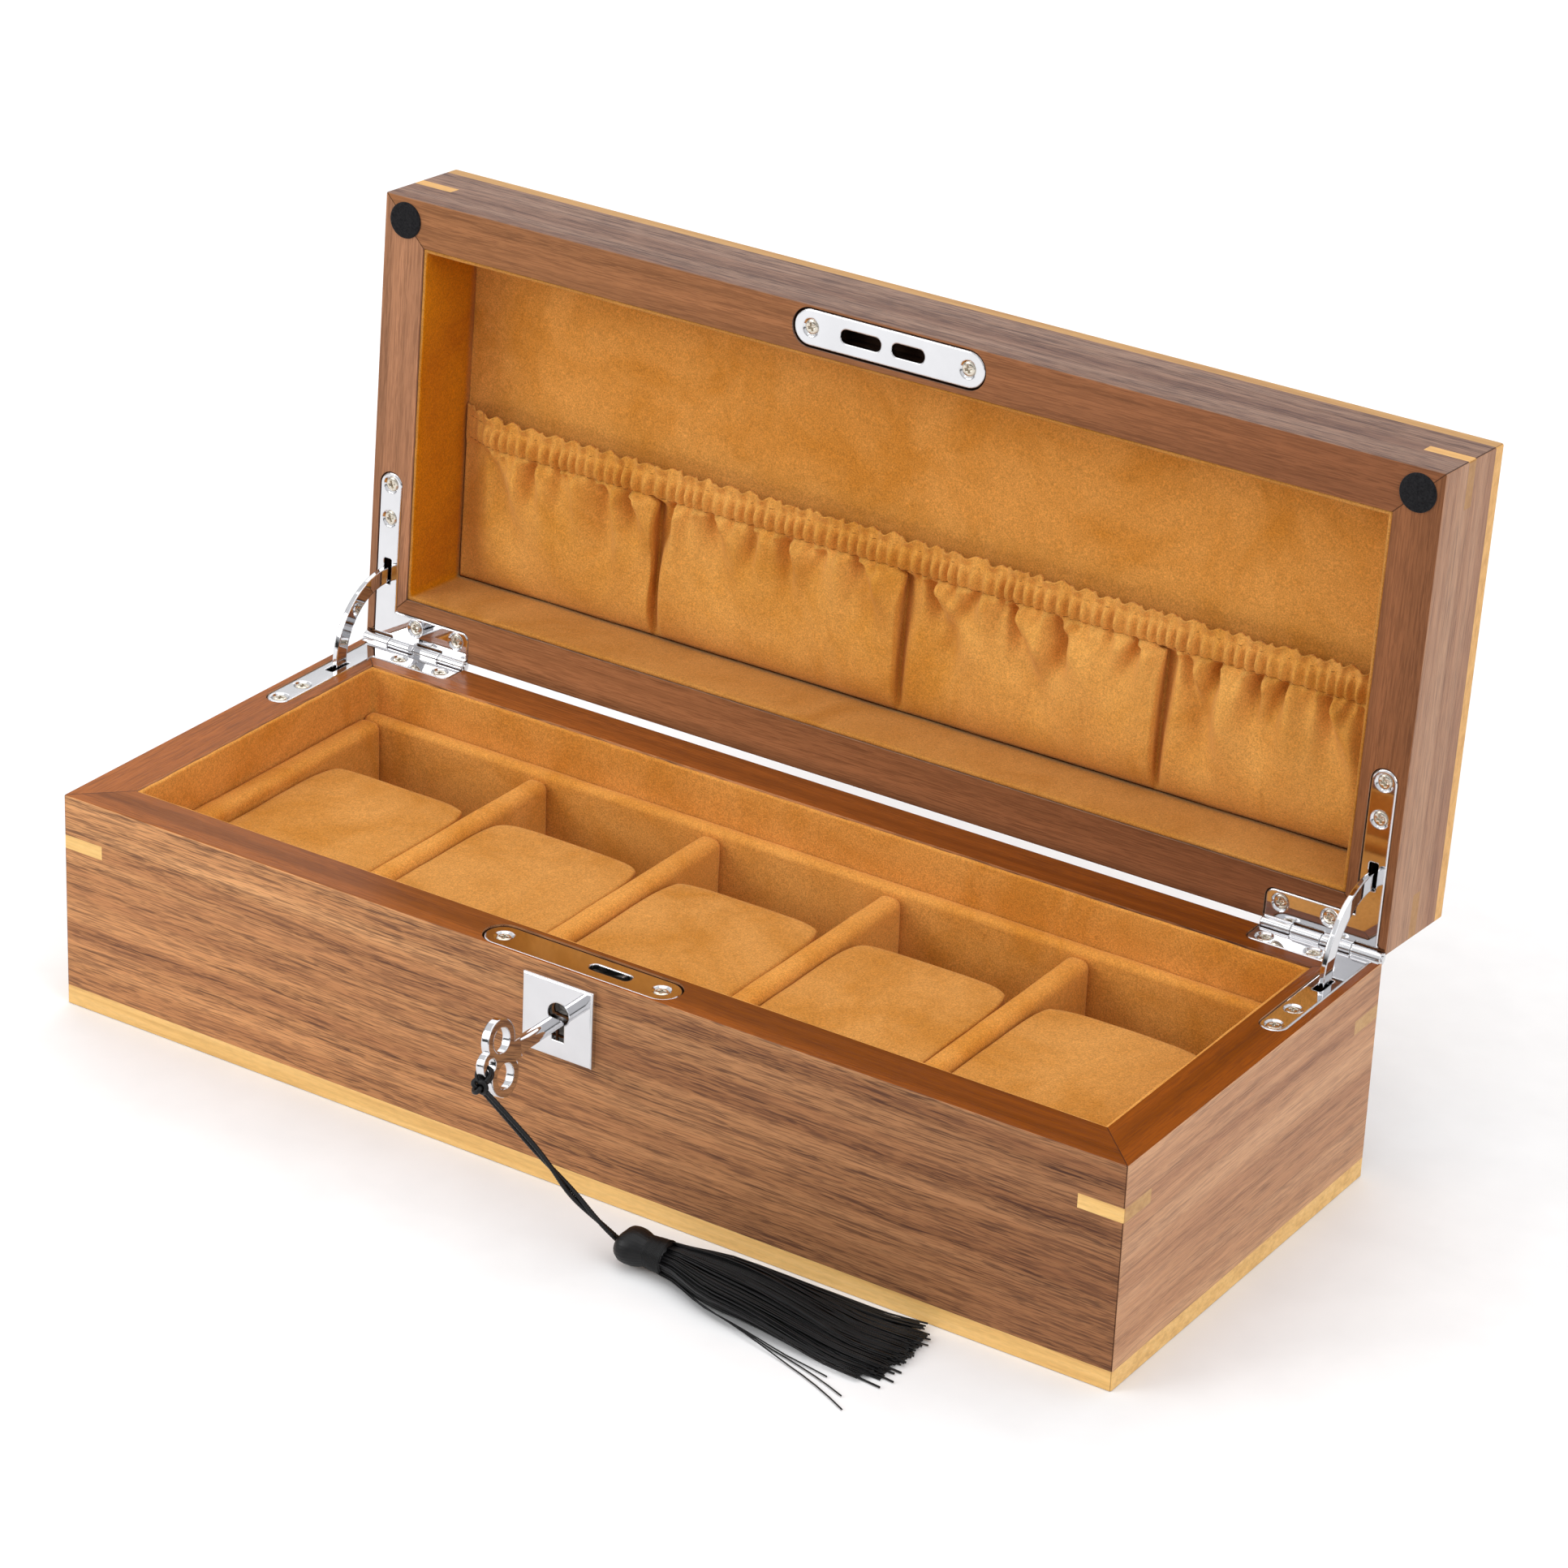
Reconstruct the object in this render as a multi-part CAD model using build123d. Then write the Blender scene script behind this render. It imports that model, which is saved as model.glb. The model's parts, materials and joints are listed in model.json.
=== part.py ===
from build123d import *
import math
import os

# Watch box for five watches, lid standing open against its stay hinges.
# Millimetres, +Z up, +X to the right, front face towards -Y.
# The origin is the centre of the underside of the base.

# ---- case ----
BOX_W = 330.0            # length over the walnut
BOX_D = 132.0            # depth over the walnut
BASE_H = 63.0            # floor to base rim
LID_H = 33.0             # lid rim to lid top
RIM_GAP = 0.8            # air between the two rims when shut, kept by the felt bumpers
WALL = 13.5              # wall thickness, equal to the rim width
CORNER_R = 0.6           # vertical outer corners
EDGE_R = 0.5             # eased outer edge of the rims
BASE_BAND = 5.5          # maple band round the foot of the base
LID_BAND = 5.0           # maple band round the top of the lid
BAIZE_T = 0.8
OPEN_DEG = 93.4          # lid angle at rest

# ---- corner splines ----
SPLINE_LEG = 13.0        # length along each face
SPLINE_T = 4.0
BASE_SPLINE_Z = 49.2     # middle of the spline
LID_SPLINE_Z = 14.6      # middle of the spline above the lid rim

# ---- hinge axis and leaves ----
AXIS_Y = BOX_D / 2 + 0.9
AXIS_Z = BASE_H + RIM_GAP / 2
LEAF_T = 1.6
LEAF_FIT = 0.25          # open line round each leaf let into the wood
LEAF_BEVEL = 0.4
ARM_X = 158.5            # centre line of the long arm
ARM_W = 7.6
ARM_FRONT_Y = 15.6       # front tip of the long arm
SHORT_Y = 57.0           # front edge of the short arm
SHORT_X = 129.0          # inner end of the short arm
LEAF_BACK_Y = AXIS_Y - 2.1
BARREL_R = 1.8
BARREL_X0 = 129.2
BARREL_X1 = 164.5
KNUCKLES = 4
KNUCKLE_GAP = 0.2
PIN_R = 0.85
PIN_FIT = 0.05
HINGE_SCREWS = [(ARM_X, 19.2), (ARM_X, 29.4), (147.8, 60.4), (133.4, 60.4)]
STAY_SLOT_Y = (AXIS_Y - 25.4, AXIS_Y - 17.5)
STAY_SLOT_W = 2.8

# ---- curved stays, arcs about the hinge axis ----
STAY_R0 = 18.2
STAY_R1 = 22.8
STAY_T = 1.5
STAY_OVER = 13.0         # degrees each end runs on behind its leaf
LUG_DEG = 4.5            # degrees of the stop lug at each end
LUG_R0 = 15.6

# ---- screws ----
SCREW_R = 2.0            # edge of the head
SINK_R = 2.6             # mouth of the countersink
SINK_T = 0.45            # the edge of the head lies this far down
DOME = 0.35              # crown of the head
SCREW_HEAD_T = 1.5
SHANK_R = 1.1
SCREW_LEN = 10.0

# ---- lining, tray and cushions ----
LINING_T = 1.3
TRAY_GAP = 0.2
TRAY_TOP = 50.0
TRAY_FLOOR_Z = 5.7
TRAY_FLOOR_T = 2.0
END_RAIL = 7.5
SIDE_RAIL = 5.0
BAYS = 5
DIVIDER_T = 7.0
DIVIDER_TOP = 48.5
CUSHION_GAP = 0.5
CUSHION_FRONT = -45.0
CUSHION_BACK = 22.0
CUSHION_TOP = 47.0

# ---- lid lining and pocket, heights above the lid rim ----
LID_LINING_T = 1.5
LID_BACK_Z = 24.5        # face of the lining inside the lid
POCKET_TOP_Y = -1.5      # mouth of the pocket
POCKET_CASING = 9.6      # width of the gathered casing
POCKET_T = 1.6
POCKET_DEPTH = 6.5
POCKET_SEAMS = (-81.5, 0.0, 81.5)

# ---- lock, keyhole and key ----
LOCK_X = 1.2
LOCK_Y = -59.6
PLATE_L = 59.6
PLATE_W = 10.3
PLATE_T = 1.6
PLATE_DEEP = 0.4         # plates lie this far below the rims
PLATE_FIT = 0.5          # open line round each plate
PLATE_SCREW = 24.5       # screw distance from the middle of the plate
LOCK_SLOT = (3.6, 16.4, 3.5)
STRIKE_SLOTS = [(-14.0, -1.2, 4.0), (2.0, 12.4, 3.9)]
CASE_X = 24.0
CASE_Y = (-64.6, -55.6)
CASE_Z = (35.0, BASE_H - PLATE_DEEP - PLATE_T)
KEY_Z = 49.3
HOLE_Z = 50.8
HOLE_R = 3.3
HOLE_SLOT_W = 3.9
HOLE_SLOT_Z = 43.2
ESC_SIDE = 21.8
ESC_T = 2.0
ESC_X = -0.5
ESC_Z = 49.0
DRUM_R = 7.6
DRUM_FIT = 0.05
DRUM_Y = (-63.2, -61.6)
BIT_R = 5.8
BIT_W = 2.4
BIT_Y = (-63.2, -60.9)
HOOK_PIVOT = (-0.5, 56.0)
HOOK_R0 = 10.6
HOOK_R1 = 13.4
HOOK_Y = (-60.6, -58.4)
HOOK_TIP = 21.0          # degrees above +X when lowered
HOOK_TAIL = -72.0
SHAFT_R = 2.1
SHAFT_FLAT_Y = (-85.5, -76.5)   # the flats run out along the shaft
BOW_T = 2.3
BOW_TURN = -8.0          # the bow stands a little off the bit, degrees about the shaft
BOW_Y = -93.0            # middle of the two large eyes
BOW_EYE_Z = 4.9
BOW_EYE_R = 5.6
BOW_HOLE_R = 3.4
END_EYE_Y = -98.1
END_EYE_R = 3.5
END_HOLE_R = 1.9

# ---- cord and tassel ----
CORD_R = 1.3             # the two strands lie side by side in this tube
CORD_PTS = [(1.47, -101.08, 43.32), (15.3, -97.2, 29.6), (25.5, -91.8, 14.5), (33.3, -87.0, 5.6)]
KNOT_R = 2.1
KNOT_DROP = (-0.6, -0.8)  # the knot hangs this way in Y and Z from the end eye
HEAD_C = (38.6, -86.6, 5.4)
HEAD_R = 5.3
NECK_X = (42.6, 48.4)
NECK_R = 4.6
SKIRT = [(48.4, -86.3, 4.7, 4.5, 4.5), (72.0, -85.8, 4.4, 7.6, 4.2), (116.0, -84.9, 2.0, 14.6, 1.8)]

IN_W = BOX_W - 2 * WALL
IN_D = BOX_D - 2 * WALL
LID_Z = BASE_H + RIM_GAP


def block(x0, x1, y0, y1, z0, z1):
    centre = ((x0 + x1) / 2, (y0 + y1) / 2, (z0 + z1) / 2)
    return Pos(*centre) * Box(x1 - x0, y1 - y0, z1 - z0)


def rod_x(x0, x1, y, z, r):
    return Pos((x0 + x1) / 2, y, z) * Rot(0, 90, 0) * Cylinder(r, x1 - x0)


def rod_y(y0, y1, x, z, r):
    return Pos(x, (y0 + y1) / 2, z) * Rot(90, 0, 0) * Cylinder(r, y1 - y0)


def stadium(length, width, z0, z1, x, y):
    sketch = Pos(x, y, z0) * SlotOverall(length, width)
    return extrude(sketch, amount=z1 - z0, dir=(0, 0, 1))


def open_lid(shape):
    """Turns a piece drawn on the shut lid about the hinge axis to the open position."""
    turn = Pos(0, AXIS_Y, AXIS_Z) * Rot(-OPEN_DEG, 0, 0) * Pos(0, -AXIS_Y, -AXIS_Z)
    return turn * shape


def arc_plate(r0, r1, a0, a1, x, thick):
    """Plate bounded by two arcs about the hinge axis. Angles run from the front upwards."""
    centre = (AXIS_Y, AXIS_Z)
    start, size = 180 - a1, a1 - a0
    outer = CenterArc(centre, r1, start, size)
    inner = CenterArc(centre, r0, start, size)
    ends = [Line(inner @ 0, outer @ 0), Line(inner @ 1, outer @ 1)]
    face = make_face([outer, inner, *ends])
    return extrude(Plane.YZ.offset(x - thick / 2) * face, amount=thick, dir=(1, 0, 0))


def frame(w, d, z0, z1, ease_top=0.0, ease_bottom=0.0):
    """Rectangular wooden frame with rounded vertical corners, before it is cut at the mitres."""
    outer = extrude(Pos(0, 0, z0) * RectangleRounded(w, d, CORNER_R), amount=z1 - z0)
    ring = outer - block(-IN_W / 2, IN_W / 2, -IN_D / 2, IN_D / 2, z0 - 1, z1 + 1)
    if ease_top:
        top = ring.faces().sort_by(Axis.Z)[-1]
        ring = fillet(top.outer_wire().edges(), ease_top)
    if ease_bottom:
        bottom = ring.faces().sort_by(Axis.Z)[0]
        ring = fillet(bottom.outer_wire().edges(), ease_bottom)
    return ring


def mitre_wedges(z0, z1):
    """Four prisms that cut a frame at its 45 degree mitres."""
    x, y, m = BOX_W / 2, BOX_D / 2, WALL + 3
    e = 2.0
    front = [(-x - e, -y - e), (x + e, -y - e), (x - m, -y + m), (-x + m, -y + m)]
    right = [(x + e, -y - e), (x + e, y + e), (x - m, y - m), (x - m, -y + m)]
    shapes = {"front": front, "right": right}
    shapes["back"] = [(-px, -py) for px, py in front]
    shapes["left"] = [(-px, -py) for px, py in right]
    return {n: extrude(Pos(0, 0, z0) * make_face(Polyline(*p, close=True)), amount=z1 - z0)
            for n, p in shapes.items()}


def mitred(ring, z0, z1):
    return {n: ring & wedge for n, wedge in mitre_wedges(z0 - 1, z1 + 1).items()}


def splines(z):
    """Four triangular keys let into the mitres, flush with both faces."""
    keys = []
    body = extrude(Pos(0, 0, z - SPLINE_T / 2) * RectangleRounded(BOX_W, BOX_D, CORNER_R), amount=SPLINE_T)
    for sx in (-1, 1):
        for sy in (-1, 1):
            x, y = sx * BOX_W / 2, sy * BOX_D / 2
            tri = Polyline((x, y), (x - sx * SPLINE_LEG, y), (x, y - sy * SPLINE_LEG), close=True)
            prism = extrude(Pos(0, 0, z - SPLINE_T / 2) * make_face(tri), amount=SPLINE_T, dir=(0, 0, 1))
            keys.append(prism & body)
    return keys


def turned(points, x, y, z, up):
    """Solid turned about an upright axis at x, y. The points give radius and height above z."""
    solid = revolve(Plane.XZ * make_face(Polyline(*points, close=True)), Axis.Z)
    if up < 0:
        solid = Rot(180, 0, 0) * solid
    return Pos(x, y, z) * solid


def wood_screw(x, y, z, up=1):
    """Countersunk cross-head screw, crown just below z. up is the side the head faces."""
    crown = [(SCREW_R * math.sin(math.radians(a)), -SINK_T + DOME * math.cos(math.radians(a)))
             for a in (0, 18, 36, 54, 72, 90)]
    body = [(SHANK_R, -SCREW_HEAD_T), (SHANK_R, 2.0 - SCREW_LEN), (0.1, -SCREW_LEN), (0, -SCREW_LEN)]
    solid = turned(crown + body, 0, 0, 0, 1)
    for turn in (20, 110):
        solid -= Pos(0, 0, -0.5) * Rot(0, 0, turn) * Box(2.3, 0.65, 1.0)
    if up < 0:
        solid = Rot(180, 0, 0) * solid
    return Pos(x, y, z) * solid


def screw_room(x, y, z, up=1):
    """The space a screw and its countersink take in the wood and the plate."""
    points = [(0, 0), (SINK_R, 0), (SCREW_R, -SINK_T), (SHANK_R, -SCREW_HEAD_T),
              (SHANK_R, 2.0 - SCREW_LEN), (0.1, -SCREW_LEN), (0, -SCREW_LEN)]
    return turned(points, x, y, z, up)


def knuckle_spans():
    step = (BARREL_X1 - BARREL_X0) / KNUCKLES
    return [(BARREL_X0 + i * step + KNUCKLE_GAP / 2, BARREL_X0 + (i + 1) * step - KNUCKLE_GAP / 2)
            for i in range(KNUCKLES)]


def leaf_outline():
    arm = Pos(ARM_X, (ARM_FRONT_Y + ARM_W / 2 + LEAF_BACK_Y) / 2) * Rectangle(
        ARM_W, LEAF_BACK_Y - ARM_FRONT_Y - ARM_W / 2)
    tip = Pos(ARM_X, ARM_FRONT_Y + ARM_W / 2) * Circle(ARM_W / 2)
    x1 = ARM_X + ARM_W / 2
    short = Pos((SHORT_X + x1) / 2, (SHORT_Y + LEAF_BACK_Y) / 2) * Rectangle(
        x1 - SHORT_X, LEAF_BACK_Y - SHORT_Y)
    corner = short.vertices().sort_by(Axis.X)[:2].sort_by(Axis.Y)[:1]
    return arm + tip + fillet(corner, 2.5)


def hinge_leaf(own, z0, z1, up):
    """Right-hand leaf lying flush between z0 and z1, with the knuckles numbered in own."""
    leaf = extrude(Pos(0, 0, z0) * leaf_outline(), amount=z1 - z0)
    face = leaf.faces().sort_by(Axis.Z)[-1 if up > 0 else 0]
    leaf = chamfer(face.outer_wire().edges(), LEAF_BEVEL)
    for i, (a, b) in enumerate(knuckle_spans()):
        if i in own:
            leaf += block(a, b, LEAF_BACK_Y - 0.5, AXIS_Y - 0.4, z0, z1)
            leaf += rod_x(a, b, AXIS_Y, AXIS_Z, BARREL_R)
    y0, y1 = STAY_SLOT_Y
    slot = block(ARM_X - STAY_SLOT_W / 2, ARM_X + STAY_SLOT_W / 2, y0, y1, z0 - 1, z1 + 1)
    leaf -= fillet(slot.edges().filter_by(Axis.Z), 0.6)
    return leaf


def leaf_room(z0, z1):
    """Recess cut into a rim for a leaf and the barrel behind it."""
    outline = offset(leaf_outline(), amount=LEAF_FIT)
    room = extrude(Pos(0, 0, z0) * outline, amount=z1 - z0)
    room += block(BARREL_X0, BARREL_X1, LEAF_BACK_Y - 0.5, AXIS_Y, z0, z1)
    return room + rod_x(BARREL_X0 - 0.3, BARREL_X1 + 0.3, AXIS_Y, AXIS_Z, BARREL_R + 0.3)


def make_base_hinge():
    z0, z1 = BASE_H - LEAF_T, BASE_H
    leaf = hinge_leaf((1, 3), z0, z1, 1)
    leaf -= rod_x(BARREL_X0 - 1, BARREL_X1 + 1, AXIS_Y, AXIS_Z, PIN_R)
    for x, y in HINGE_SCREWS:
        leaf -= screw_room(x, y, z1)
    return leaf


def make_lid_hinge():
    z0, z1 = LID_Z, LID_Z + LEAF_T
    leaf = hinge_leaf((0, 2), z0, z1, -1)
    leaf -= rod_x(BARREL_X0 - 1, BARREL_X1 + 1, AXIS_Y, AXIS_Z, PIN_R + PIN_FIT)
    for x, y in HINGE_SCREWS:
        leaf -= screw_room(x, y, z0, up=-1)
    return leaf


def make_stay(side):
    """Curved stay with a stop lug behind each leaf."""
    a0, a1 = -STAY_OVER, OPEN_DEG + STAY_OVER
    x = side * ARM_X
    stay = arc_plate(STAY_R0, STAY_R1, a0, a1, x, STAY_T)
    stay += arc_plate(LUG_R0, STAY_R0 + 0.5, a0, a0 + LUG_DEG, x, STAY_T)
    stay += arc_plate(LUG_R0, STAY_R0 + 0.5, a1 - LUG_DEG, a1, x, STAY_T)
    return stay


def stay_room(a0, a1):
    """Mortises in the side walls that swallow the stays."""
    both = [arc_plate(LUG_R0 - 0.6, STAY_R1 + 2.7, a0, a1, s * ARM_X, STAY_SLOT_W) for s in (-1, 1)]
    return both


def both_sides(shape):
    return [shape, mirror(shape, about=Plane.YZ)]


def base_screw_places():
    return [(s * x, y) for s in (-1, 1) for x, y in HINGE_SCREWS]


def plate_screw_places():
    return [(LOCK_X - PLATE_SCREW, LOCK_Y), (LOCK_X + PLATE_SCREW, LOCK_Y)]


def keyhole(y0, y1, r, slot_w, slot_z):
    hole = rod_y(y0, y1, 0, HOLE_Z, r)
    return hole + block(-slot_w / 2, slot_w / 2, y0, y1, slot_z, HOLE_Z)


def base_cuts():
    cuts = both_sides(leaf_room(BASE_H - LEAF_T, BASE_H + 1))
    cuts += stay_room(-66, 1)
    cuts += [screw_room(x, y, BASE_H) for x, y in base_screw_places()]
    cuts += [screw_room(x, y, BASE_H - PLATE_DEEP) for x, y in plate_screw_places()]
    cuts.append(plate_room(BASE_H - PLATE_DEEP - PLATE_T, BASE_H + 1))
    cuts.append(block(-CASE_X, CASE_X, *CASE_Y, *CASE_Z))
    cuts.append(keyhole(-BOX_D / 2 - 1, CASE_Y[0] + 0.5, HOLE_R, HOLE_SLOT_W, HOLE_SLOT_Z))
    return cuts


def cut_each(pieces, cuts):
    """Cuts each piece only with the tools whose boxes reach it."""
    out = {}
    for name, piece in pieces.items():
        b = piece.bounding_box()
        for c in cuts:
            t = c.bounding_box()
            apart = (t.min.X > b.max.X or t.max.X < b.min.X or t.min.Y > b.max.Y
                     or t.max.Y < b.min.Y or t.min.Z > b.max.Z or t.max.Z < b.min.Z)
            if not apart:
                piece = piece - c
        out[name] = piece
    return out


def cut_list(pieces, cuts):
    return list(cut_each(dict(enumerate(pieces)), cuts).values())


def make_base_case():
    nodes = {}
    ring = frame(BOX_W, BOX_D, BASE_BAND, BASE_H, ease_top=EDGE_R)
    keys = splines(BASE_SPLINE_Z)
    panels = cut_each(mitred(ring, BASE_BAND, BASE_H), keys + base_cuts())
    for name, panel in panels.items():
        nodes["base_%s_panel" % name] = panel
    band = mitred(frame(BOX_W, BOX_D, 0, BASE_BAND), 0, BASE_BAND)
    nodes["base_maple_edging"] = list(band.values())
    nodes["base_corner_splines"] = cut_list(keys, stay_room(-66, 1))
    x, y = IN_W / 2, IN_D / 2
    nodes["base_board"] = block(-x, x, -y, y, BAIZE_T, BASE_BAND)
    nodes["base_baize"] = block(-x, x, -y, y, 0, BAIZE_T)
    nodes["base_lining"] = lining(x, y, LINING_T, BASE_BAND, BASE_H - 0.4)
    return nodes


def lining(x, y, t, z0, z1):
    strips = [block(-x, x, s * y - max(s, 0) * t, s * y + max(-s, 0) * t, z0, z1) for s in (-1, 1)]
    strips += [block(s * x - max(s, 0) * t, s * x + max(-s, 0) * t, -y + t, y - t, z0, z1) for s in (-1, 1)]
    return strips


def soft_top(shape, r):
    """Rounds the long top edges of a padded rail."""
    top = shape.faces().sort_by(Axis.Z)[-1]
    return fillet(top.edges().sort_by(SortBy.LENGTH)[-2:], r)


def bay_width():
    inner = IN_W - 2 * (LINING_T + TRAY_GAP + END_RAIL)
    return (inner - (BAYS - 1) * DIVIDER_T) / BAYS


def make_tray():
    nodes = {}
    x = IN_W / 2 - LINING_T - TRAY_GAP
    y = IN_D / 2 - LINING_T - TRAY_GAP
    z0 = TRAY_FLOOR_Z + TRAY_FLOOR_T
    nodes["tray_floor"] = block(-x, x, -y, y, TRAY_FLOOR_Z, z0)
    nodes["tray_front_rail"] = soft_top(block(-x, x, -y, -y + SIDE_RAIL, z0, TRAY_TOP), 2.0)
    nodes["tray_back_rail"] = soft_top(block(-x, x, y - SIDE_RAIL, y, z0, TRAY_TOP), 2.0)
    ends = [block(-x, -x + END_RAIL, -y + SIDE_RAIL, y - SIDE_RAIL, z0, TRAY_TOP),
            block(x - END_RAIL, x, -y + SIDE_RAIL, y - SIDE_RAIL, z0, TRAY_TOP)]
    nodes["tray_end_rails"] = [soft_top(e, 3.0) for e in ends]
    pitch = bay_width() + DIVIDER_T
    for i in range(BAYS - 1):
        c = (i - (BAYS - 2) / 2) * pitch
        wall = block(c - DIVIDER_T / 2, c + DIVIDER_T / 2, -y + SIDE_RAIL, y - SIDE_RAIL, z0, DIVIDER_TOP)
        nodes["tray_divider_%d" % (i + 1)] = soft_top(wall, 3.0)
    return nodes


def make_cushions():
    nodes = {}
    width = bay_width() - 2 * CUSHION_GAP
    z0 = TRAY_FLOOR_Z + TRAY_FLOOR_T + 0.4
    for i in range(BAYS):
        c = (i - (BAYS - 1) / 2) * (bay_width() + DIVIDER_T)
        pad = block(c - width / 2, c + width / 2, CUSHION_FRONT, CUSHION_BACK, z0, CUSHION_TOP)
        pad = fillet(pad.edges().filter_by(Axis.Z), 8.0)
        rims = pad.faces().sort_by(Axis.Z)
        pad = fillet(rims[-1].edges() + rims[0].edges(), 4.0)
        nodes["cushion_%d" % (i + 1)] = pad
    return nodes


def lid_cuts():
    cuts = both_sides(leaf_room(LID_Z - 1, LID_Z + LEAF_T))
    cuts += stay_room(-1, 66)
    cuts += [screw_room(x, y, LID_Z, up=-1) for x, y in base_screw_places()]
    cuts += [screw_room(x, y, LID_Z + PLATE_DEEP, up=-1) for x, y in plate_screw_places()]
    cuts.append(plate_room(LID_Z - 1, LID_Z + PLATE_DEEP + PLATE_T))
    cuts.append(block(-15, 14, LOCK_Y - 2.6, LOCK_Y + 2.6, LID_Z, LID_Z + 7.5))
    cuts += [Pos(x, y, LID_Z) * Cylinder(5.2, 1.2) for x, y in bumper_places()]
    return cuts


def bumper_places():
    m = WALL / 2
    return [(s * (BOX_W / 2 - m - 0.5), -BOX_D / 2 + m) for s in (-1, 1)]


def make_lid_case():
    nodes = {}
    z1 = LID_Z + LID_H
    zb = z1 - LID_BAND
    ring = frame(BOX_W, BOX_D, LID_Z, zb, ease_bottom=EDGE_R)
    keys = splines(LID_Z + LID_SPLINE_Z)
    panels = cut_each(mitred(ring, LID_Z, zb), keys + lid_cuts())
    for name, panel in panels.items():
        nodes["lid_%s_panel" % name] = panel
    band = mitred(frame(BOX_W, BOX_D, zb, z1, ease_top=1.0), zb, z1)
    nodes["lid_maple_edging"] = list(band.values())
    nodes["lid_corner_splines"] = cut_list(keys, stay_room(-1, 66))
    x, y = IN_W / 2, IN_D / 2
    nodes["lid_top_panel"] = block(-x, x, -y, y, zb, z1)
    back = LID_Z + LID_BACK_Z
    nodes["lid_wall_lining"] = lining(x, y, LID_LINING_T, LID_Z + 0.4, back)
    nodes["lid_back_lining"] = block(-x, x, -y, y, back, zb)
    nodes["lid_felt_bumpers"] = [Pos(px, py, LID_Z) * Cylinder(5.2, 1.2) for px, py in bumper_places()]
    return nodes


def make_pocket():
    """Gathered pocket across the lid: casing at the mouth, front sheet and the seams behind it."""
    x = IN_W / 2 - LID_LINING_T - 0.2
    y0 = POCKET_TOP_Y
    y1 = IN_D / 2 - LID_LINING_T - 0.2
    back = LID_Z + LID_BACK_Z
    front = back - POCKET_DEPTH
    mid = y0 + POCKET_CASING
    seams = [block(s - 0.8, s + 0.8, y0 + POCKET_CASING, y1 - POCKET_T, front, back) for s in POCKET_SEAMS]
    seams += [block(-x, -x + POCKET_T, y0, y1 - POCKET_T, front, back),
              block(x - POCKET_T, x, y0, y1 - POCKET_T, front, back),
              block(-x, x, y1 - POCKET_T, y1, front, back)]
    return {"lid_pocket_casing": block(-x, x, y0, mid, front - POCKET_T - 0.6, front),
            "lid_pocket_front": block(-x, x, mid, y1, front - POCKET_T, front),
            "lid_pocket_seams": seams}


def plate_room(z0, z1):
    """Recess for the lock plate or the strike."""
    return stadium(PLATE_L + 2 * PLATE_FIT, PLATE_W + 2 * PLATE_FIT, z0, z1, LOCK_X, LOCK_Y)


def lock_plate(slots, z0, z1, up):
    plate = stadium(PLATE_L, PLATE_W, z0, z1, LOCK_X, LOCK_Y)
    rim = plate.faces().sort_by(Axis.Z)[-1 if up > 0 else 0]
    plate = chamfer(rim.edges(), 0.25)
    for a, b, w in slots:
        opening = block(a, b, LOCK_Y - w / 2, LOCK_Y + w / 2, z0 - 1, z1 + 1)
        plate -= fillet(opening.edges().filter_by(Axis.Z), w / 2 - 0.1)
    face = z1 if up > 0 else z0
    for x, y in plate_screw_places():
        plate -= screw_room(x, y, face, up=up)
    return plate


def make_lock_case():
    y0, y1 = CASE_Y
    case = block(-CASE_X, CASE_X, y0, y1, *CASE_Z)
    case -= block(-CASE_X + 4, CASE_X - 4, DRUM_Y[1], y1 - 0.8, CASE_Z[0] + 1, CASE_Z[1] + 1)
    case -= rod_y(DRUM_Y[0] - 0.1, DRUM_Y[1], 0, KEY_Z, DRUM_R + DRUM_FIT)
    case -= keyhole(y0 - 1, DRUM_Y[0], HOLE_R, HOLE_SLOT_W, HOLE_SLOT_Z)
    for x, y in plate_screw_places():
        case -= screw_room(x, y, BASE_H - PLATE_DEEP)
    return case


def make_drum():
    """Turning plug behind the keyhole that the key fits through."""
    drum = rod_y(*DRUM_Y, 0, KEY_Z, DRUM_R)
    drum -= rod_y(DRUM_Y[0] - 1, DRUM_Y[1] + 1, 0, KEY_Z, SHAFT_R + DRUM_FIT)
    half = BIT_W / 2 + 0.15
    return drum - block(-half, half, DRUM_Y[0] - 1, DRUM_Y[1] + 1, KEY_Z - BIT_R - 0.3, KEY_Z)


def make_hook():
    """Hook bolt that swings up out of the lock plate, an arc about its pivot."""
    px, pz = HOOK_PIVOT
    y0, y1 = HOOK_Y
    plane = Plane(origin=(px, y1, pz), x_dir=(1, 0, 0), z_dir=(0, -1, 0))

    def sector(r0, r1, a0, a1):
        inner = CenterArc((0, 0), r0, a0, a1 - a0)
        outer = CenterArc((0, 0), r1, a0, a1 - a0)
        ends = [Line(inner @ 0, outer @ 0), Line(inner @ 1, outer @ 1)]
        face = make_face([inner, outer, *ends])
        return extrude(plane * face, amount=y1 - y0)

    hook = sector(HOOK_R0, HOOK_R1, HOOK_TAIL, HOOK_TIP)
    hook += sector(2.0, HOOK_R0 + 0.4, HOOK_TAIL, HOOK_TAIL + 20)
    hook += rod_y(y0, y1, px, pz, 3.0)
    return hook - rod_y(y0 - 1, y1 + 1, px, pz, 1.2 + PIN_FIT)


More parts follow.
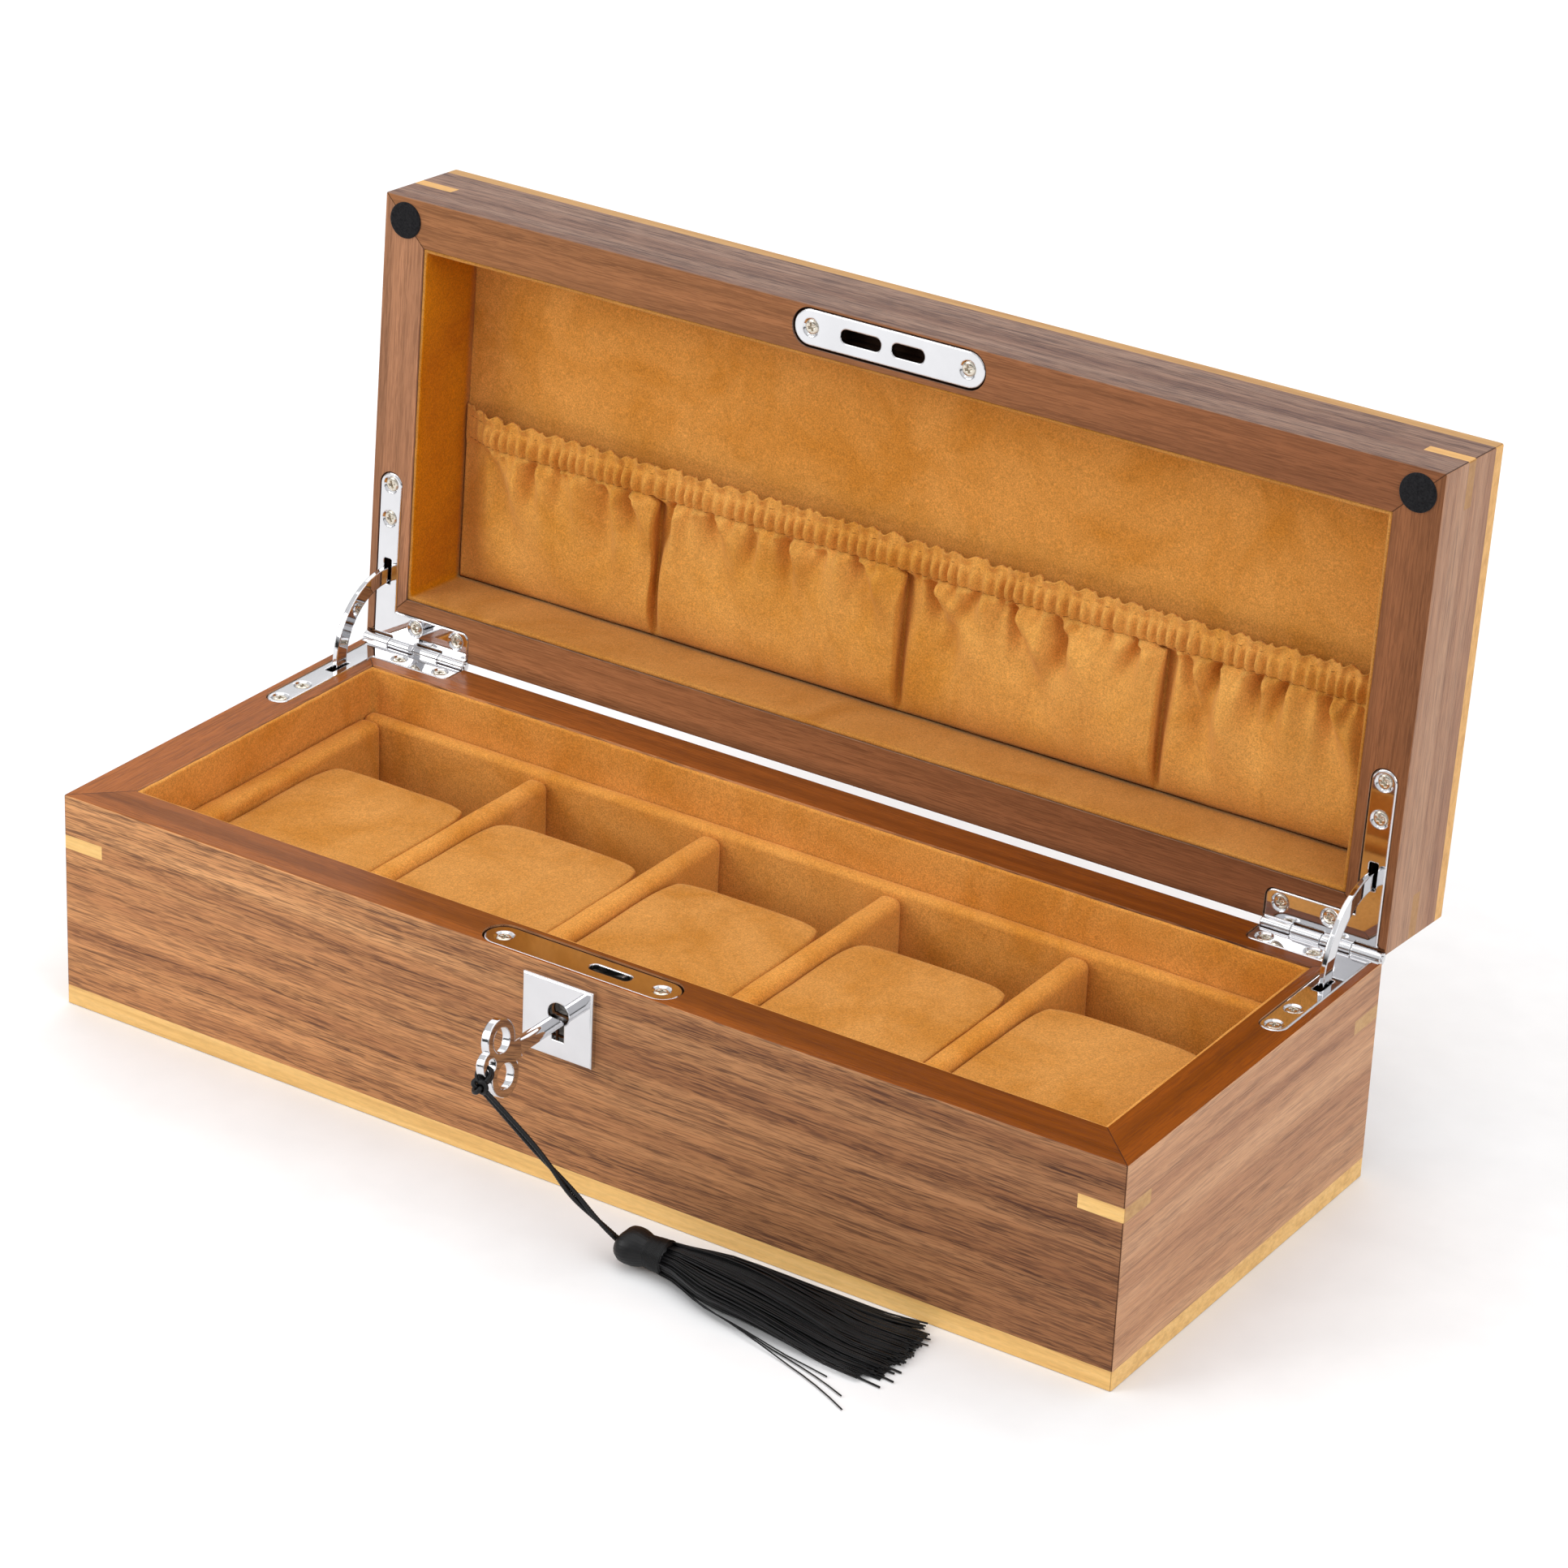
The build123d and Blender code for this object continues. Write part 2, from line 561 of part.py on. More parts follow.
def make_escutcheon():
    y1 = -BOX_D / 2
    half = ESC_SIDE / 2
    plate = block(ESC_X - half, ESC_X + half, y1 - ESC_T, y1, ESC_Z - half, ESC_Z + half)
    front = plate.faces().sort_by(Axis.Y)[0]
    plate = chamfer(front.edges(), 0.4)
    return plate - keyhole(y1 - ESC_T - 1, y1 + 1, HOLE_R, HOLE_SLOT_W, HOLE_SLOT_Z)


def bow_plate():
    """Flat trefoil bow in the YZ plane: two large eyes, a small end eye and the neck."""
    half = BOW_T / 2

    def disc(y, dz, r):
        return rod_x(-half, half, y, KEY_Z + dz, r)

    bow = disc(BOW_Y, BOW_EYE_Z, BOW_EYE_R) + disc(BOW_Y, -BOW_EYE_Z, BOW_EYE_R)
    bow += disc(END_EYE_Y, 0, END_EYE_R)
    bow += block(-half, half, BOW_Y - 2, SHAFT_FLAT_Y[0], KEY_Z - 2.6, KEY_Z + 2.6)
    bow -= disc(BOW_Y, BOW_EYE_Z, BOW_HOLE_R)
    bow -= disc(BOW_Y, -BOW_EYE_Z, BOW_HOLE_R)
    return bow - disc(END_EYE_Y, 0, END_HOLE_R)


def make_key():
    """Round shaft with a bit at one end, flattened towards the bow at the other."""
    start, end = SHAFT_FLAT_Y
    half, wide = BOW_T / 2, SHAFT_R + 0.1
    plan = [(-half, start - 2), (half, start - 2), (half, start), (wide, end), (-wide, end), (-half, start)]
    flats = extrude(Pos(0, 0, KEY_Z - 3) * make_face(Polyline(*plan, close=True)), amount=6, dir=(0, 0, 1))
    neck = rod_y(start - 2, end, 0, KEY_Z, SHAFT_R) & flats
    head = Pos(0, 0, KEY_Z) * Rot(0, BOW_TURN, 0) * Pos(0, 0, -KEY_Z) * (bow_plate() + neck)
    key = rod_y(end - 0.1, BIT_Y[1], 0, KEY_Z, SHAFT_R)
    key += block(-BIT_W / 2, BIT_W / 2, *BIT_Y, KEY_Z - BIT_R, KEY_Z)
    return key + head


def make_knot():
    """Loop of cord through the end eye of the bow, drawn up in a knot below it."""
    dy, dz = KNOT_DROP
    tilt = math.degrees(math.atan2(dy, -dz))
    centre = (0, END_EYE_Y + 2.65 * dy, KEY_Z + 2.65 * dz)
    loop = Pos(*centre) * Rot(tilt, 0, 0) * Rot(90, 0, 0) * Torus(2.2, 0.7)
    knot = Pos(0, END_EYE_Y + 5.65 * dy, KEY_Z + 5.65 * dz) * Sphere(KNOT_R)
    return loop + knot


def cord_path():
    radii = []
    points = [Vector(*p) for p in CORD_PTS]
    for i in range(1, len(points) - 1):
        before, after = points[i] - points[i - 1], points[i + 1] - points[i]
        turn = math.radians(before.get_angle(after))
        radii.append(0.45 * min(before.length, after.length) / math.tan(turn / 2))
    print("cord bend radii mm:", [round(r, 1) for r in radii])
    return FilletPolyline(*CORD_PTS, radius=radii)


def make_cord():
    path = cord_path()
    start = Plane(origin=path @ 0, z_dir=path % 0)
    cord = sweep(start * Circle(CORD_R), path=path)
    print("cord length mm: %.1f  volume %.1f  section x length %.1f"
          % (path.length, cord.volume, math.pi * CORD_R ** 2 * path.length))
    return cord


def make_tassel(cord):
    """Bound head and neck, turned about X, and the flattened skirt lying on the table."""
    x, y, z = HEAD_C
    r = HEAD_R
    reach = NECK_X[0] - x
    top = math.sqrt(r * r - reach * reach)
    cut = math.degrees(math.atan2(top, reach))
    ball = CenterArc((0, 0), r, cut, 180 - cut)
    neck = NECK_X[1] - x
    profile = [ball, Line((-r, 0), (neck, 0)), Line((neck, 0), (neck, NECK_R)),
               Line((neck, NECK_R), (reach, NECK_R)), Line((reach, NECK_R), ball @ 0)]
    head = Pos(x, y, z) * revolve(make_face(profile), Axis.X) - cord
    sections = [Plane(origin=(sx, sy, sz), x_dir=(0, 1, 0), z_dir=(1, 0, 0)) * Ellipse(ry, rz)
                for sx, sy, sz, ry, rz in SKIRT]
    return {"tassel_head": head, "tassel_skirt": loft(sections, ruled=True)}


def write(name, shape):
    if isinstance(shape, list):
        shape = Compound(children=list(shape))
    export_step(shape, "parts/%s.step" % name)


def main():
    os.makedirs("parts", exist_ok=True)
    nodes = {}
    nodes.update(make_base_case())
    nodes.update(make_tray())
    nodes.update(make_cushions())
    nodes["lock_case"] = make_lock_case()
    nodes["lock_plate"] = lock_plate([LOCK_SLOT], CASE_Z[1], CASE_Z[1] + PLATE_T, 1)
    nodes["lock_screws"] = [wood_screw(x, y, BASE_H - PLATE_DEEP) for x, y in plate_screw_places()]
    nodes["lock_pivot"] = rod_y(-60.7, CASE_Y[1] - 0.8, *HOOK_PIVOT, 1.2)
    nodes["lock_hook"] = make_hook()
    nodes["lock_drum"] = make_drum()
    nodes["escutcheon"] = make_escutcheon()
    nodes["key"] = make_key()
    nodes["key_cord_knot"] = make_knot()
    nodes["key_cord"] = make_cord()
    nodes.update(make_tassel(nodes["key_cord"]))
    right, left = both_sides(make_base_hinge())
    nodes["hinge_right_base_leaf"] = right
    nodes["hinge_left_base_leaf"] = left
    nodes["hinge_pins"] = both_sides(rod_x(BARREL_X0 - 0.2, BARREL_X1 + 0.2, AXIS_Y, AXIS_Z, PIN_R))
    nodes["hinge_base_screws"] = [wood_screw(x, y, BASE_H) for x, y in base_screw_places()]
    nodes["stay_left"] = make_stay(-1)
    nodes["stay_right"] = make_stay(1)
    lid = make_lid_case()
    lid.update(make_pocket())
    right, left = both_sides(make_lid_hinge())
    lid["hinge_right_lid_leaf"] = right
    lid["hinge_left_lid_leaf"] = left
    lid["hinge_lid_screws"] = [wood_screw(x, y, LID_Z, up=-1) for x, y in base_screw_places()]
    face = LID_Z + PLATE_DEEP
    lid["strike_plate"] = lock_plate(STRIKE_SLOTS, face, face + PLATE_T, -1)
    lid["strike_screws"] = [wood_screw(x, y, face, up=-1) for x, y in plate_screw_places()]
    for name, shape in lid.items():
        if isinstance(shape, list):
            nodes[name] = [open_lid(s) for s in shape]
        else:
            nodes[name] = open_lid(shape)
    for name, shape in nodes.items():
        write(name, shape)
    print("%d nodes" % len(nodes))


main()
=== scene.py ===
"""Looks of an open walnut watch box: veneer, maple keys, suede fittings, chrome hardware, silk tassel.

Everything is in metres in the CAD model's own frame: x to the right, y to the back, z up.
Lid pieces are built as if the lid were shut, and lid_piece() then turns them open.
"""
import json
import math
import random

import bmesh
import bpy
import numpy as np
from mathutils import Matrix, Vector, noise


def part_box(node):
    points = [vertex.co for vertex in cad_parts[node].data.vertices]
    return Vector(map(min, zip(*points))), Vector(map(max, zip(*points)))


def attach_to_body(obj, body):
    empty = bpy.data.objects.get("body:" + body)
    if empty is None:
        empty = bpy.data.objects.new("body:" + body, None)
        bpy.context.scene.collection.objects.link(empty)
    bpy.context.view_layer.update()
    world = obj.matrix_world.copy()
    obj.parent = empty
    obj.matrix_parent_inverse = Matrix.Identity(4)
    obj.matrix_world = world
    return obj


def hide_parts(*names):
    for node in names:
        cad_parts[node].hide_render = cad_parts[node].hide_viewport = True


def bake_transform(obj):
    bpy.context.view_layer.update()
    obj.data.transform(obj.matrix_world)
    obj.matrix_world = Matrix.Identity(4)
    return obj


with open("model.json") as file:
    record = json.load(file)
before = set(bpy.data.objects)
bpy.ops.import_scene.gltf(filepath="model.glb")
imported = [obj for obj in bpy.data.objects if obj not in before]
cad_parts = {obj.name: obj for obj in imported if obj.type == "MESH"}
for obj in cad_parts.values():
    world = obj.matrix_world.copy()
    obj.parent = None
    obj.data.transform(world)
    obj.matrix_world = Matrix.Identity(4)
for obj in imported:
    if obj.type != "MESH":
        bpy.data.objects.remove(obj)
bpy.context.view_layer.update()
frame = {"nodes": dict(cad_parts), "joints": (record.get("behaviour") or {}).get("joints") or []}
NODES = frame["nodes"]
MM = 0.001
link = bpy.context.scene.collection.objects.link


# ---- places taken from the frame

def joint(name):
    return next(j for j in frame["joints"] if j["name"] == name)


HINGE = Vector(joint("lid_hinge")["pos_m"])
OPEN_ANGLE = -math.radians(joint("lid_hinge")["range_deg"][0])
lid_open = (
    Matrix.Translation(HINGE)
    @ Matrix.Rotation(-OPEN_ANGLE, 4, "X")
    @ Matrix.Translation(-HINGE)
)
lid_shut = lid_open.inverted()


def shut_box(node):
    """Lowest and highest corner of a lid node with the lid shut."""
    points = [lid_shut @ v.co for v in NODES[node].data.vertices]
    low = Vector([min(p[i] for p in points) for i in range(3)])
    high = Vector([max(p[i] for p in points) for i in range(3)])
    return low, high


BOX_LOW, BOX_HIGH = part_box("base_front_panel")
HALF_LENGTH = BOX_HIGH.x
HALF_DEPTH = -BOX_LOW.y
BASE_RIM_Z = BOX_HIGH.z
LID_RIM_Z = shut_box("lid_front_panel")[0].z


# ---- camera, light and floor

CAMERA_PLACE = (0.6641, -1.0216, 0.6750)
CAMERA_AHEAD = (-0.4802, 0.7679, -0.4239)
CAMERA_RIGHT = (0.8367, 0.5461, 0.0414)
LENS = 118.82
SHIFT = (-0.0084, -0.0300)
TENT_STRENGTH = 0.88
HORIZON = (0.10, (0.05, 0.048, 0.045, 1))
TENT = (0.26, (0.985, 0.985, 1.0, 1))
FLOOR_REACH = 6
FLOOR_DROP = 0.2 * MM


def look_through():
    """The camera: a long lens at the box's front right, well above it."""
    data = bpy.data.cameras.new("camera")
    data.sensor_width = 36
    data.lens = LENS
    data.shift_x, data.shift_y = SHIFT
    data.clip_start = 0.05
    data.clip_end = 20
    camera = bpy.data.objects.new("camera", data)
    right = Vector(CAMERA_RIGHT).normalized()
    ahead = Vector(CAMERA_AHEAD).normalized()
    up = right.cross(ahead).normalized()
    right = ahead.cross(up)
    turn = Matrix((right, up, -ahead)).transposed().to_4x4()
    camera.matrix_world = Matrix.Translation(CAMERA_PLACE) @ turn
    link(camera)
    bpy.context.scene.camera = camera


def soft_box(name, place, aim, width, height, watts):
    data = bpy.data.lights.new(name, "AREA")
    data.shape = "RECTANGLE"
    data.size = width
    data.size_y = height
    data.energy = watts
    light = bpy.data.objects.new(name, data)
    light.location = place
    light.rotation_mode = "QUATERNION"
    light.rotation_quaternion = (Vector(aim) - Vector(place)).to_track_quat("-Z", "Y")
    link(light)


def light_studio():
    """A white tent that is dark near the horizon, so that polished metal shows dark bands."""
    world = bpy.data.worlds.new("studio")
    world.use_nodes = True
    tree = world.node_tree
    background = tree.nodes["Background"]
    background.inputs["Strength"].default_value = TENT_STRENGTH
    direction = tree.nodes.new("ShaderNodeTexCoord")
    height = tree.nodes.new("ShaderNodeSeparateXYZ")
    tent = tree.nodes.new("ShaderNodeValToRGB")
    tree.links.new(direction.outputs["Generated"], height.inputs[0])
    tree.links.new(height.outputs["Z"], tent.inputs["Fac"])
    tree.links.new(tent.outputs["Color"], background.inputs["Color"])
    for point, (place, colour) in zip(tent.color_ramp.elements, (HORIZON, TENT)):
        point.position, point.color = place, colour
    bpy.context.scene.world = world
    soft_box("overhead", (-0.15, -0.15, 1.5), (0, 0, 0.05), 1.5, 1.2, watts=6)
    soft_box("key_left", (-1.1, -1.3, 0.9), (0, 0, 0.06), 0.9, 0.9, watts=10)
    soft_box("fill_right", (1.5, -0.5, 0.8), (0, 0, 0.06), 0.9, 0.9, watts=6)
    soft_box("backdrop", (-0.9, 1.7, 1.6), (-0.9, 1.7, 0), 2.6, 2.2, watts=17)
    bpy.context.scene.view_settings.view_transform = "Standard"


def lay_floor():
    mesh = bpy.data.meshes.new("floor")
    corners = [(x * FLOOR_REACH, y * FLOOR_REACH, 0) for x, y in ((-1, -1), (1, -1), (1, 1), (-1, 1))]
    mesh.from_pydata(corners, [], [(0, 1, 2, 3)])
    floor = bpy.data.objects.new("floor", mesh)
    floor.location.z = -FLOOR_DROP
    link(floor)
    shader = Shader("floor_paper", {"Roughness": 0.9, "Specular IOR Level": 0.15})
    grain = shader.noise(shader.coords(), 60, 3)
    shader.colour(shader.ramp(grain, [(0.3, 0.85), (0.7, 0.88)]))
    mesh.materials.append(shader.material)


# ---- materials

class Shader:
    """A Principled material whose colour, roughness and bump come from a few short calls."""

    def __init__(self, name, settings):
        self.material = bpy.data.materials.new(name)
        self.material.use_nodes = True
        self.tree = self.material.node_tree
        self.surface = self.tree.nodes["Principled BSDF"]
        for socket, value in settings.items():
            self.surface.inputs[socket].default_value = value

    def node(self, kind, **values):
        made = self.tree.nodes.new(kind)
        for key, value in values.items():
            setattr(made, key, value)
        return made

    def put(self, socket, value):
        """Links a socket to another socket, or sets it to a number or colour."""
        if isinstance(value, bpy.types.NodeSocket):
            self.tree.links.new(value, socket)
        elif isinstance(value, tuple) and len(value) == 3 and socket.type == "RGBA":
            socket.default_value = (*value, 1)
        else:
            socket.default_value = value

    def coords(self):
        """Places in the box's own frame, in metres."""
        return self.node("ShaderNodeTexCoord").outputs["Object"]

    def facing(self, axis):
        """How far the surface faces along an axis, 0 to 2 for x to z."""
        return self.split(self.node("ShaderNodeTexCoord").outputs["Normal"])[axis]

    def noise(self, vector, scale, detail=2.0, roughness=0.5, distortion=0.0):
        made = self.node("ShaderNodeTexNoise")
        self.put(made.inputs["Vector"], vector)
        made.inputs["Scale"].default_value = scale
        made.inputs["Detail"].default_value = detail
        made.inputs["Roughness"].default_value = roughness
        made.inputs["Distortion"].default_value = distortion
        return made.outputs["Fac"]

    def streaks(self, vector, scale, detail, roughness):
        """Noise with its own scale along each axis, which draws it out into lines."""
        stretched = self.node("ShaderNodeVectorMath", operation="MULTIPLY")
        self.put(stretched.inputs[0], vector)
        stretched.inputs[1].default_value = scale
        return self.noise(stretched.outputs[0], 1, detail, roughness)

    def ramp(self, factor, stops):
        made = self.node("ShaderNodeValToRGB")
        self.put(made.inputs["Fac"], factor)
        points = made.color_ramp.elements
        while len(points) < len(stops):
            points.new(0.5)
        for point, (place, colour) in zip(points, stops):
            point.position = place
            point.color = (*colour, 1) if isinstance(colour, tuple) else (colour,) * 3 + (1,)
        return made.outputs["Color"]

    def math(self, operation, a, b=0.0, clamp=False):
        made = self.node("ShaderNodeMath", operation=operation, use_clamp=clamp)
        self.put(made.inputs[0], a)
        self.put(made.inputs[1], b)
        return made.outputs[0]

    def plus(self, a, b):
        return self.math("ADD", a, b)

    def minus(self, a, b):
        return self.math("SUBTRACT", a, b)

    def times(self, a, b):
        return self.math("MULTIPLY", a, b)

    def size(self, a):
        return self.math("ABSOLUTE", a)

    def above(self, a, b):
        return self.math("GREATER_THAN", a, b)

    def below(self, a, b):
        return self.math("LESS_THAN", a, b)

    def mix(self, factor, a, b, blend="MIX"):
        made = self.node("ShaderNodeMix", data_type="RGBA", blend_type=blend)
        self.put(made.inputs["Factor"], factor)
        self.put(made.inputs[6], a)
        self.put(made.inputs[7], b)
        return made.outputs[2]

    def shade(self, factor, tint, by):
        return self.mix(factor, tint, by, "MULTIPLY")

    def split(self, vector):
        made = self.node("ShaderNodeSeparateXYZ")
        self.put(made.inputs[0], vector)
        return made.outputs

    def join(self, x, y, z):
        made = self.node("ShaderNodeCombineXYZ")
        for socket, value in zip(made.inputs, (x, y, z)):
            self.put(socket, value)
        return made.outputs[0]

    def bump(self, height, distance, strength, under=None):
        made = self.node("ShaderNodeBump")
        self.put(made.inputs["Height"], height)
        made.inputs["Distance"].default_value = distance
        made.inputs["Strength"].default_value = strength
        if under is not None:
            self.put(made.inputs["Normal"], under)
        return made.outputs[0]

    def colour(self, value):
        self.put(self.surface.inputs["Base Color"], value)

    def roughness(self, value):
        self.put(self.surface.inputs["Roughness"], value)

    def normal(self, value):
        self.put(self.surface.inputs["Normal"], value)


def product(colour, tone):
    return tuple(a * b for a, b in zip(colour, tone))


def case_coords(shader, on_lid):
    """Coordinates of the shut box, so that grain and joints of lid and base line up."""
    if not on_lid:
        return shader.coords()
    turned = shader.node("ShaderNodeMapping")
    turned.inputs["Rotation"].default_value = (OPEN_ANGLE, 0, 0)
    turned.inputs["Location"].default_value = lid_shut.translation
    shader.put(turned.inputs["Vector"], shader.coords())
    return turned.outputs[0]


def within_case(shader, x, y):
    """How deep a place lies inside the end faces and inside the long faces."""
    return shader.minus(HALF_LENGTH, shader.size(x)), shader.minus(HALF_DEPTH, shader.size(y))


def mitre_line(shader, from_end, from_long, width):
    """1 on the mitre lines of the four corners, 0 elsewhere."""
    return shader.below(shader.size(shader.minus(from_end, from_long)), width)


# walnut colours from dark to light bands, and rim colours at the left and right end of the box; the rim
# colours darken to the right as painted shade and are partly a painted reflection of the suede
WALNUT_BANDS = ((0.32, (0.48, 0.212, 0.090)), (0.47, (0.62, 0.290, 0.120)), (0.64, (0.73, 0.368, 0.158)))
WALNUT_PORE = (0.080, 0.036, 0.030)
# painted shade for the right end of the long panels
PAINTED_FALLOFF_SHADE = (0.53, 0.50, 0.54)
BASE_RIM = ((0.305, 0.093, 0.019), (0.205, 0.051, 0.006))
LID_LONG_RIM = ((0.355, 0.153, 0.064), (0.23, 0.088, 0.038))
LID_SHORT_RIM = ((0.46, 0.22, 0.115), (0.24, 0.095, 0.04))
DARK_GAP = (0.05, 0.02, 0.01)
WALL_COVER = 13.7 * MM
MORTISE_COVER = (0.8 * MM, 12.7 * MM)
MORTISE_DEPTH = 0.6 * MM
WALNUT_MITRE = 0.22 * MM
MAPLE_MITRE = 0.16 * MM


def wandering_grain(shader, along, across, z, seed):
    """Coordinates along the grain, which drifts a little sideways, so that its lines aren't ruled."""
    wander = shader.noise(shader.join(along, across, z), 7, 2)
    drift = shader.times(shader.minus(wander, 0.5), 4 * MM)
    return shader.join(shader.plus(along, seed), shader.plus(across, drift), shader.plus(z, drift))


def walnut(name, grain_axis, rims, on_lid=False, seed=0.0, tone=(1, 1, 1), painted_falloff=False, depth=0.8):
    """Walnut veneer: long tonal bands, short dark pores, fine fibre lines and dark mitre lines.

    The falloff switch darkens the sheet towards the right end of the box as painted shade of light falling
    off there, and depth is how dark the pores are.
    """
    shader = Shader(name, {"Roughness": 0.4, "IOR": 1.5, "Specular IOR Level": 0.07})
    x, y, z = shader.split(case_coords(shader, on_lid))
    along, across = (x, y) if grain_axis == "X" else (y, x)
    grain = wandering_grain(shader, along, across, z, seed)
    bands = shader.streaks(grain, (2.2, 125, 125), 4, 0.6)
    figure = shader.streaks(grain, (15, 420, 420), 4, 0.65)
    pores = shader.streaks(grain, (90, 2300, 2300), 2, 0.6)
    dashes = shader.streaks(grain, (170, 3200, 3200), 1, 0.6)
    fibre = shader.streaks(grain, (60, 4200, 4200), 2, 0.5)
    tint = shader.ramp(bands, [(stop, product(colour, tone)) for stop, colour in WALNUT_BANDS])
    tint = shader.shade(depth, tint, shader.ramp(figure, [(0.34, 0.72), (0.5, 0.94), (0.66, 1.10)]))
    pore = shader.ramp(pores, [(0.50, 0.0), (0.60, 1.0)])
    dash = shader.ramp(dashes, [(0.52, 0.0), (0.60, 1.0)])
    where = shader.ramp(figure, [(0.34, 1.0), (0.64, 0.45)])
    pore = shader.times(shader.math("MAXIMUM", pore, shader.times(dash, 0.7)), where)
    tint = shader.mix(shader.times(pore, depth), tint, product(WALNUT_PORE, tone))
    tint = shader.shade(0.5, tint, shader.ramp(fibre, [(0.3, 0.82), (0.7, 1.1)]))
    # painted shade: the sheet darkens towards the box's right end, where less light falls
    if painted_falloff:
        far_right = shader.math("DIVIDE", shader.plus(x, 0.09), 0.24, clamp=True)
        tint = shader.mix(far_right, tint, shader.shade(1.0, tint, PAINTED_FALLOFF_SHADE))

    # polished rim: deeper, smoother and more even than the faces; its colour darkens towards the right end
    # as painted shade and is partly a painted reflection of the suede
    from_end, from_long = within_case(shader, x, y)
    cover = shader.math("MINIMUM", from_end, from_long)
    on_wall = shader.below(cover, WALL_COVER)
    upward = shader.above(shader.size(shader.facing(1 if on_lid else 2)), 0.8)
    rim = shader.times(upward, on_wall)
    # painted shade: the rim colour moves from its left colour to its darker right colour along the box
    rightward_painted_shade = shader.math("DIVIDE", shader.plus(x, 0.1), 0.23, clamp=True)
    even = shader.mix(rightward_painted_shade, *rims)
    rim_tint = shader.shade(1.0, even, shader.ramp(bands, [(0.34, 0.72), (0.5, 1.0), (0.66, 1.25)]))
    rim_tint = shader.mix(shader.times(pore, 0.45), rim_tint, (0.06, 0.02, 0.01))
    tint = shader.mix(rim, tint, rim_tint)

    line = shader.times(mitre_line(shader, from_end, from_long, WALNUT_MITRE), on_wall)
    tint = shader.mix(shader.times(line, 0.75), tint, DARK_GAP)

    # painted shade: near-black colour over the walls and floor of the mortise recesses below the rim
    deep = shader.minus(z, LID_RIM_Z) if on_lid else shader.minus(BASE_RIM_Z, z)
    inside, outside = MORTISE_COVER
    painted_mortise_shade = shader.times(shader.above(cover, inside), shader.below(cover, outside))
    painted_mortise_shade = shader.times(painted_mortise_shade, shader.above(deep, MORTISE_DEPTH))
    shader.colour(shader.mix(painted_mortise_shade, tint, (0.03, 0.014, 0.008)))
    rough = shader.plus(shader.times(fibre, 0.16), 0.32)
    shader.roughness(shader.minus(rough, shader.times(rim, 0.18)))
    shader.normal(shader.bump(shader.minus(shader.times(fibre, 0.35), pore), 0.06 * MM, 0.4))
    return shader.material


def maple(name, on_lid=False, tone=(1, 1, 1), end_painted_shade=None, front_painted_shade=None):
    """Pale maple with faint long grain and small flecks.

    One tint darkens the faces on the short sides and another those on the lid's front, both painted shade
    set by which way a face turns.
    """
    shader = Shader(name, {"Roughness": 0.38, "IOR": 1.5, "Specular IOR Level": 0.25})
    place = case_coords(shader, on_lid)
    bands = shader.streaks(place, (16, 260, 500), 4, 0.6)
    flecks = shader.streaks(place, (350, 900, 1800), 2, 0.5)
    pale = [(0.3, (0.70, 0.40, 0.13)), (0.5, (0.83, 0.51, 0.175)), (0.7, (0.90, 0.58, 0.225))]
    tint = shader.shade(0.35, shader.ramp(bands, pale), shader.ramp(flecks, [(0.35, 0.8), (0.6, 1.05)]))
    tint = shader.shade(1.0, tint, tone)
    # painted shade on faces turned upward, which is the lid's front when it stands open
    if front_painted_shade:
        front = shader.above(shader.facing(2), 0.7)
        tint = shader.mix(front, tint, shader.shade(1.0, tint, front_painted_shade))
    # painted shade on faces turned to the left and right
    if end_painted_shade:
        end = shader.above(shader.size(shader.facing(0)), 0.7)
        tint = shader.mix(end, tint, shader.shade(1.0, tint, end_painted_shade))
    else:
        x, y, _ = shader.split(place)
        line = mitre_line(shader, *within_case(shader, x, y), MAPLE_MITRE)
        tint = shader.mix(shader.times(line, 0.6), tint, (0.25, 0.12, 0.04))
    shader.colour(tint)
    shader.normal(shader.bump(flecks, 0.04 * MM, 0.3))
    return shader.material


SUEDE_LIGHT = (0.72, 0.330, 0.075)
SUEDE_DARK = (0.58, 0.230, 0.032)


def suede(name, light=SUEDE_LIGHT, dark=SUEDE_DARK, painted_light_tone=None, rightward_painted_shade=(1, 1, 1)):
    """Golden microfibre suede: brushed patches, a short nap and a soft sheen.

    One tone lightens or darkens a copy of the whole cloth as painted light and shade for where it lies,
    and a second darkens the parts that face the right besides, as painted shade.
    """
    shader = Shader(
        name,
        {
            "Roughness": 0.95,
            "Specular IOR Level": 0.1,
            "Sheen Weight": 0.22,
            "Sheen Roughness": 0.45,
            "Sheen Tint": (1.0, 0.74, 0.36, 1),
        },
    )
    place = shader.coords()
    patches = shader.noise(place, 30, 4, 0.62, 0.6)
    clumps = shader.noise(place, 700, 3, 0.65)
    nap = shader.noise(place, 2300, 2, 0.65)
    middle = tuple((a + 2 * b) / 3 for a, b in zip(dark, light))
    tint = shader.ramp(patches, [(0.33, dark), (0.52, middle), (0.68, light)])
    tint = shader.shade(0.45, tint, shader.ramp(clumps, [(0.3, 0.82), (0.7, 1.16)]))
    tint = shader.shade(0.8, tint, shader.ramp(nap, [(0.3, 0.68), (0.7, 1.3)]))
    # painted light and shade: a tone for this copy of the cloth, deeper on faces turned right
    if painted_light_tone:
        turned = shader.ramp(shader.facing(0), [(0.35, painted_light_tone), (0.75, product(painted_light_tone, rightward_painted_shade))])
        tint = shader.shade(1.0, tint, turned)
    shader.colour(tint)
    shader.normal(shader.bump(nap, 0.25 * MM, 0.5, shader.bump(clumps, 0.3 * MM, 0.35)))
    return shader.material


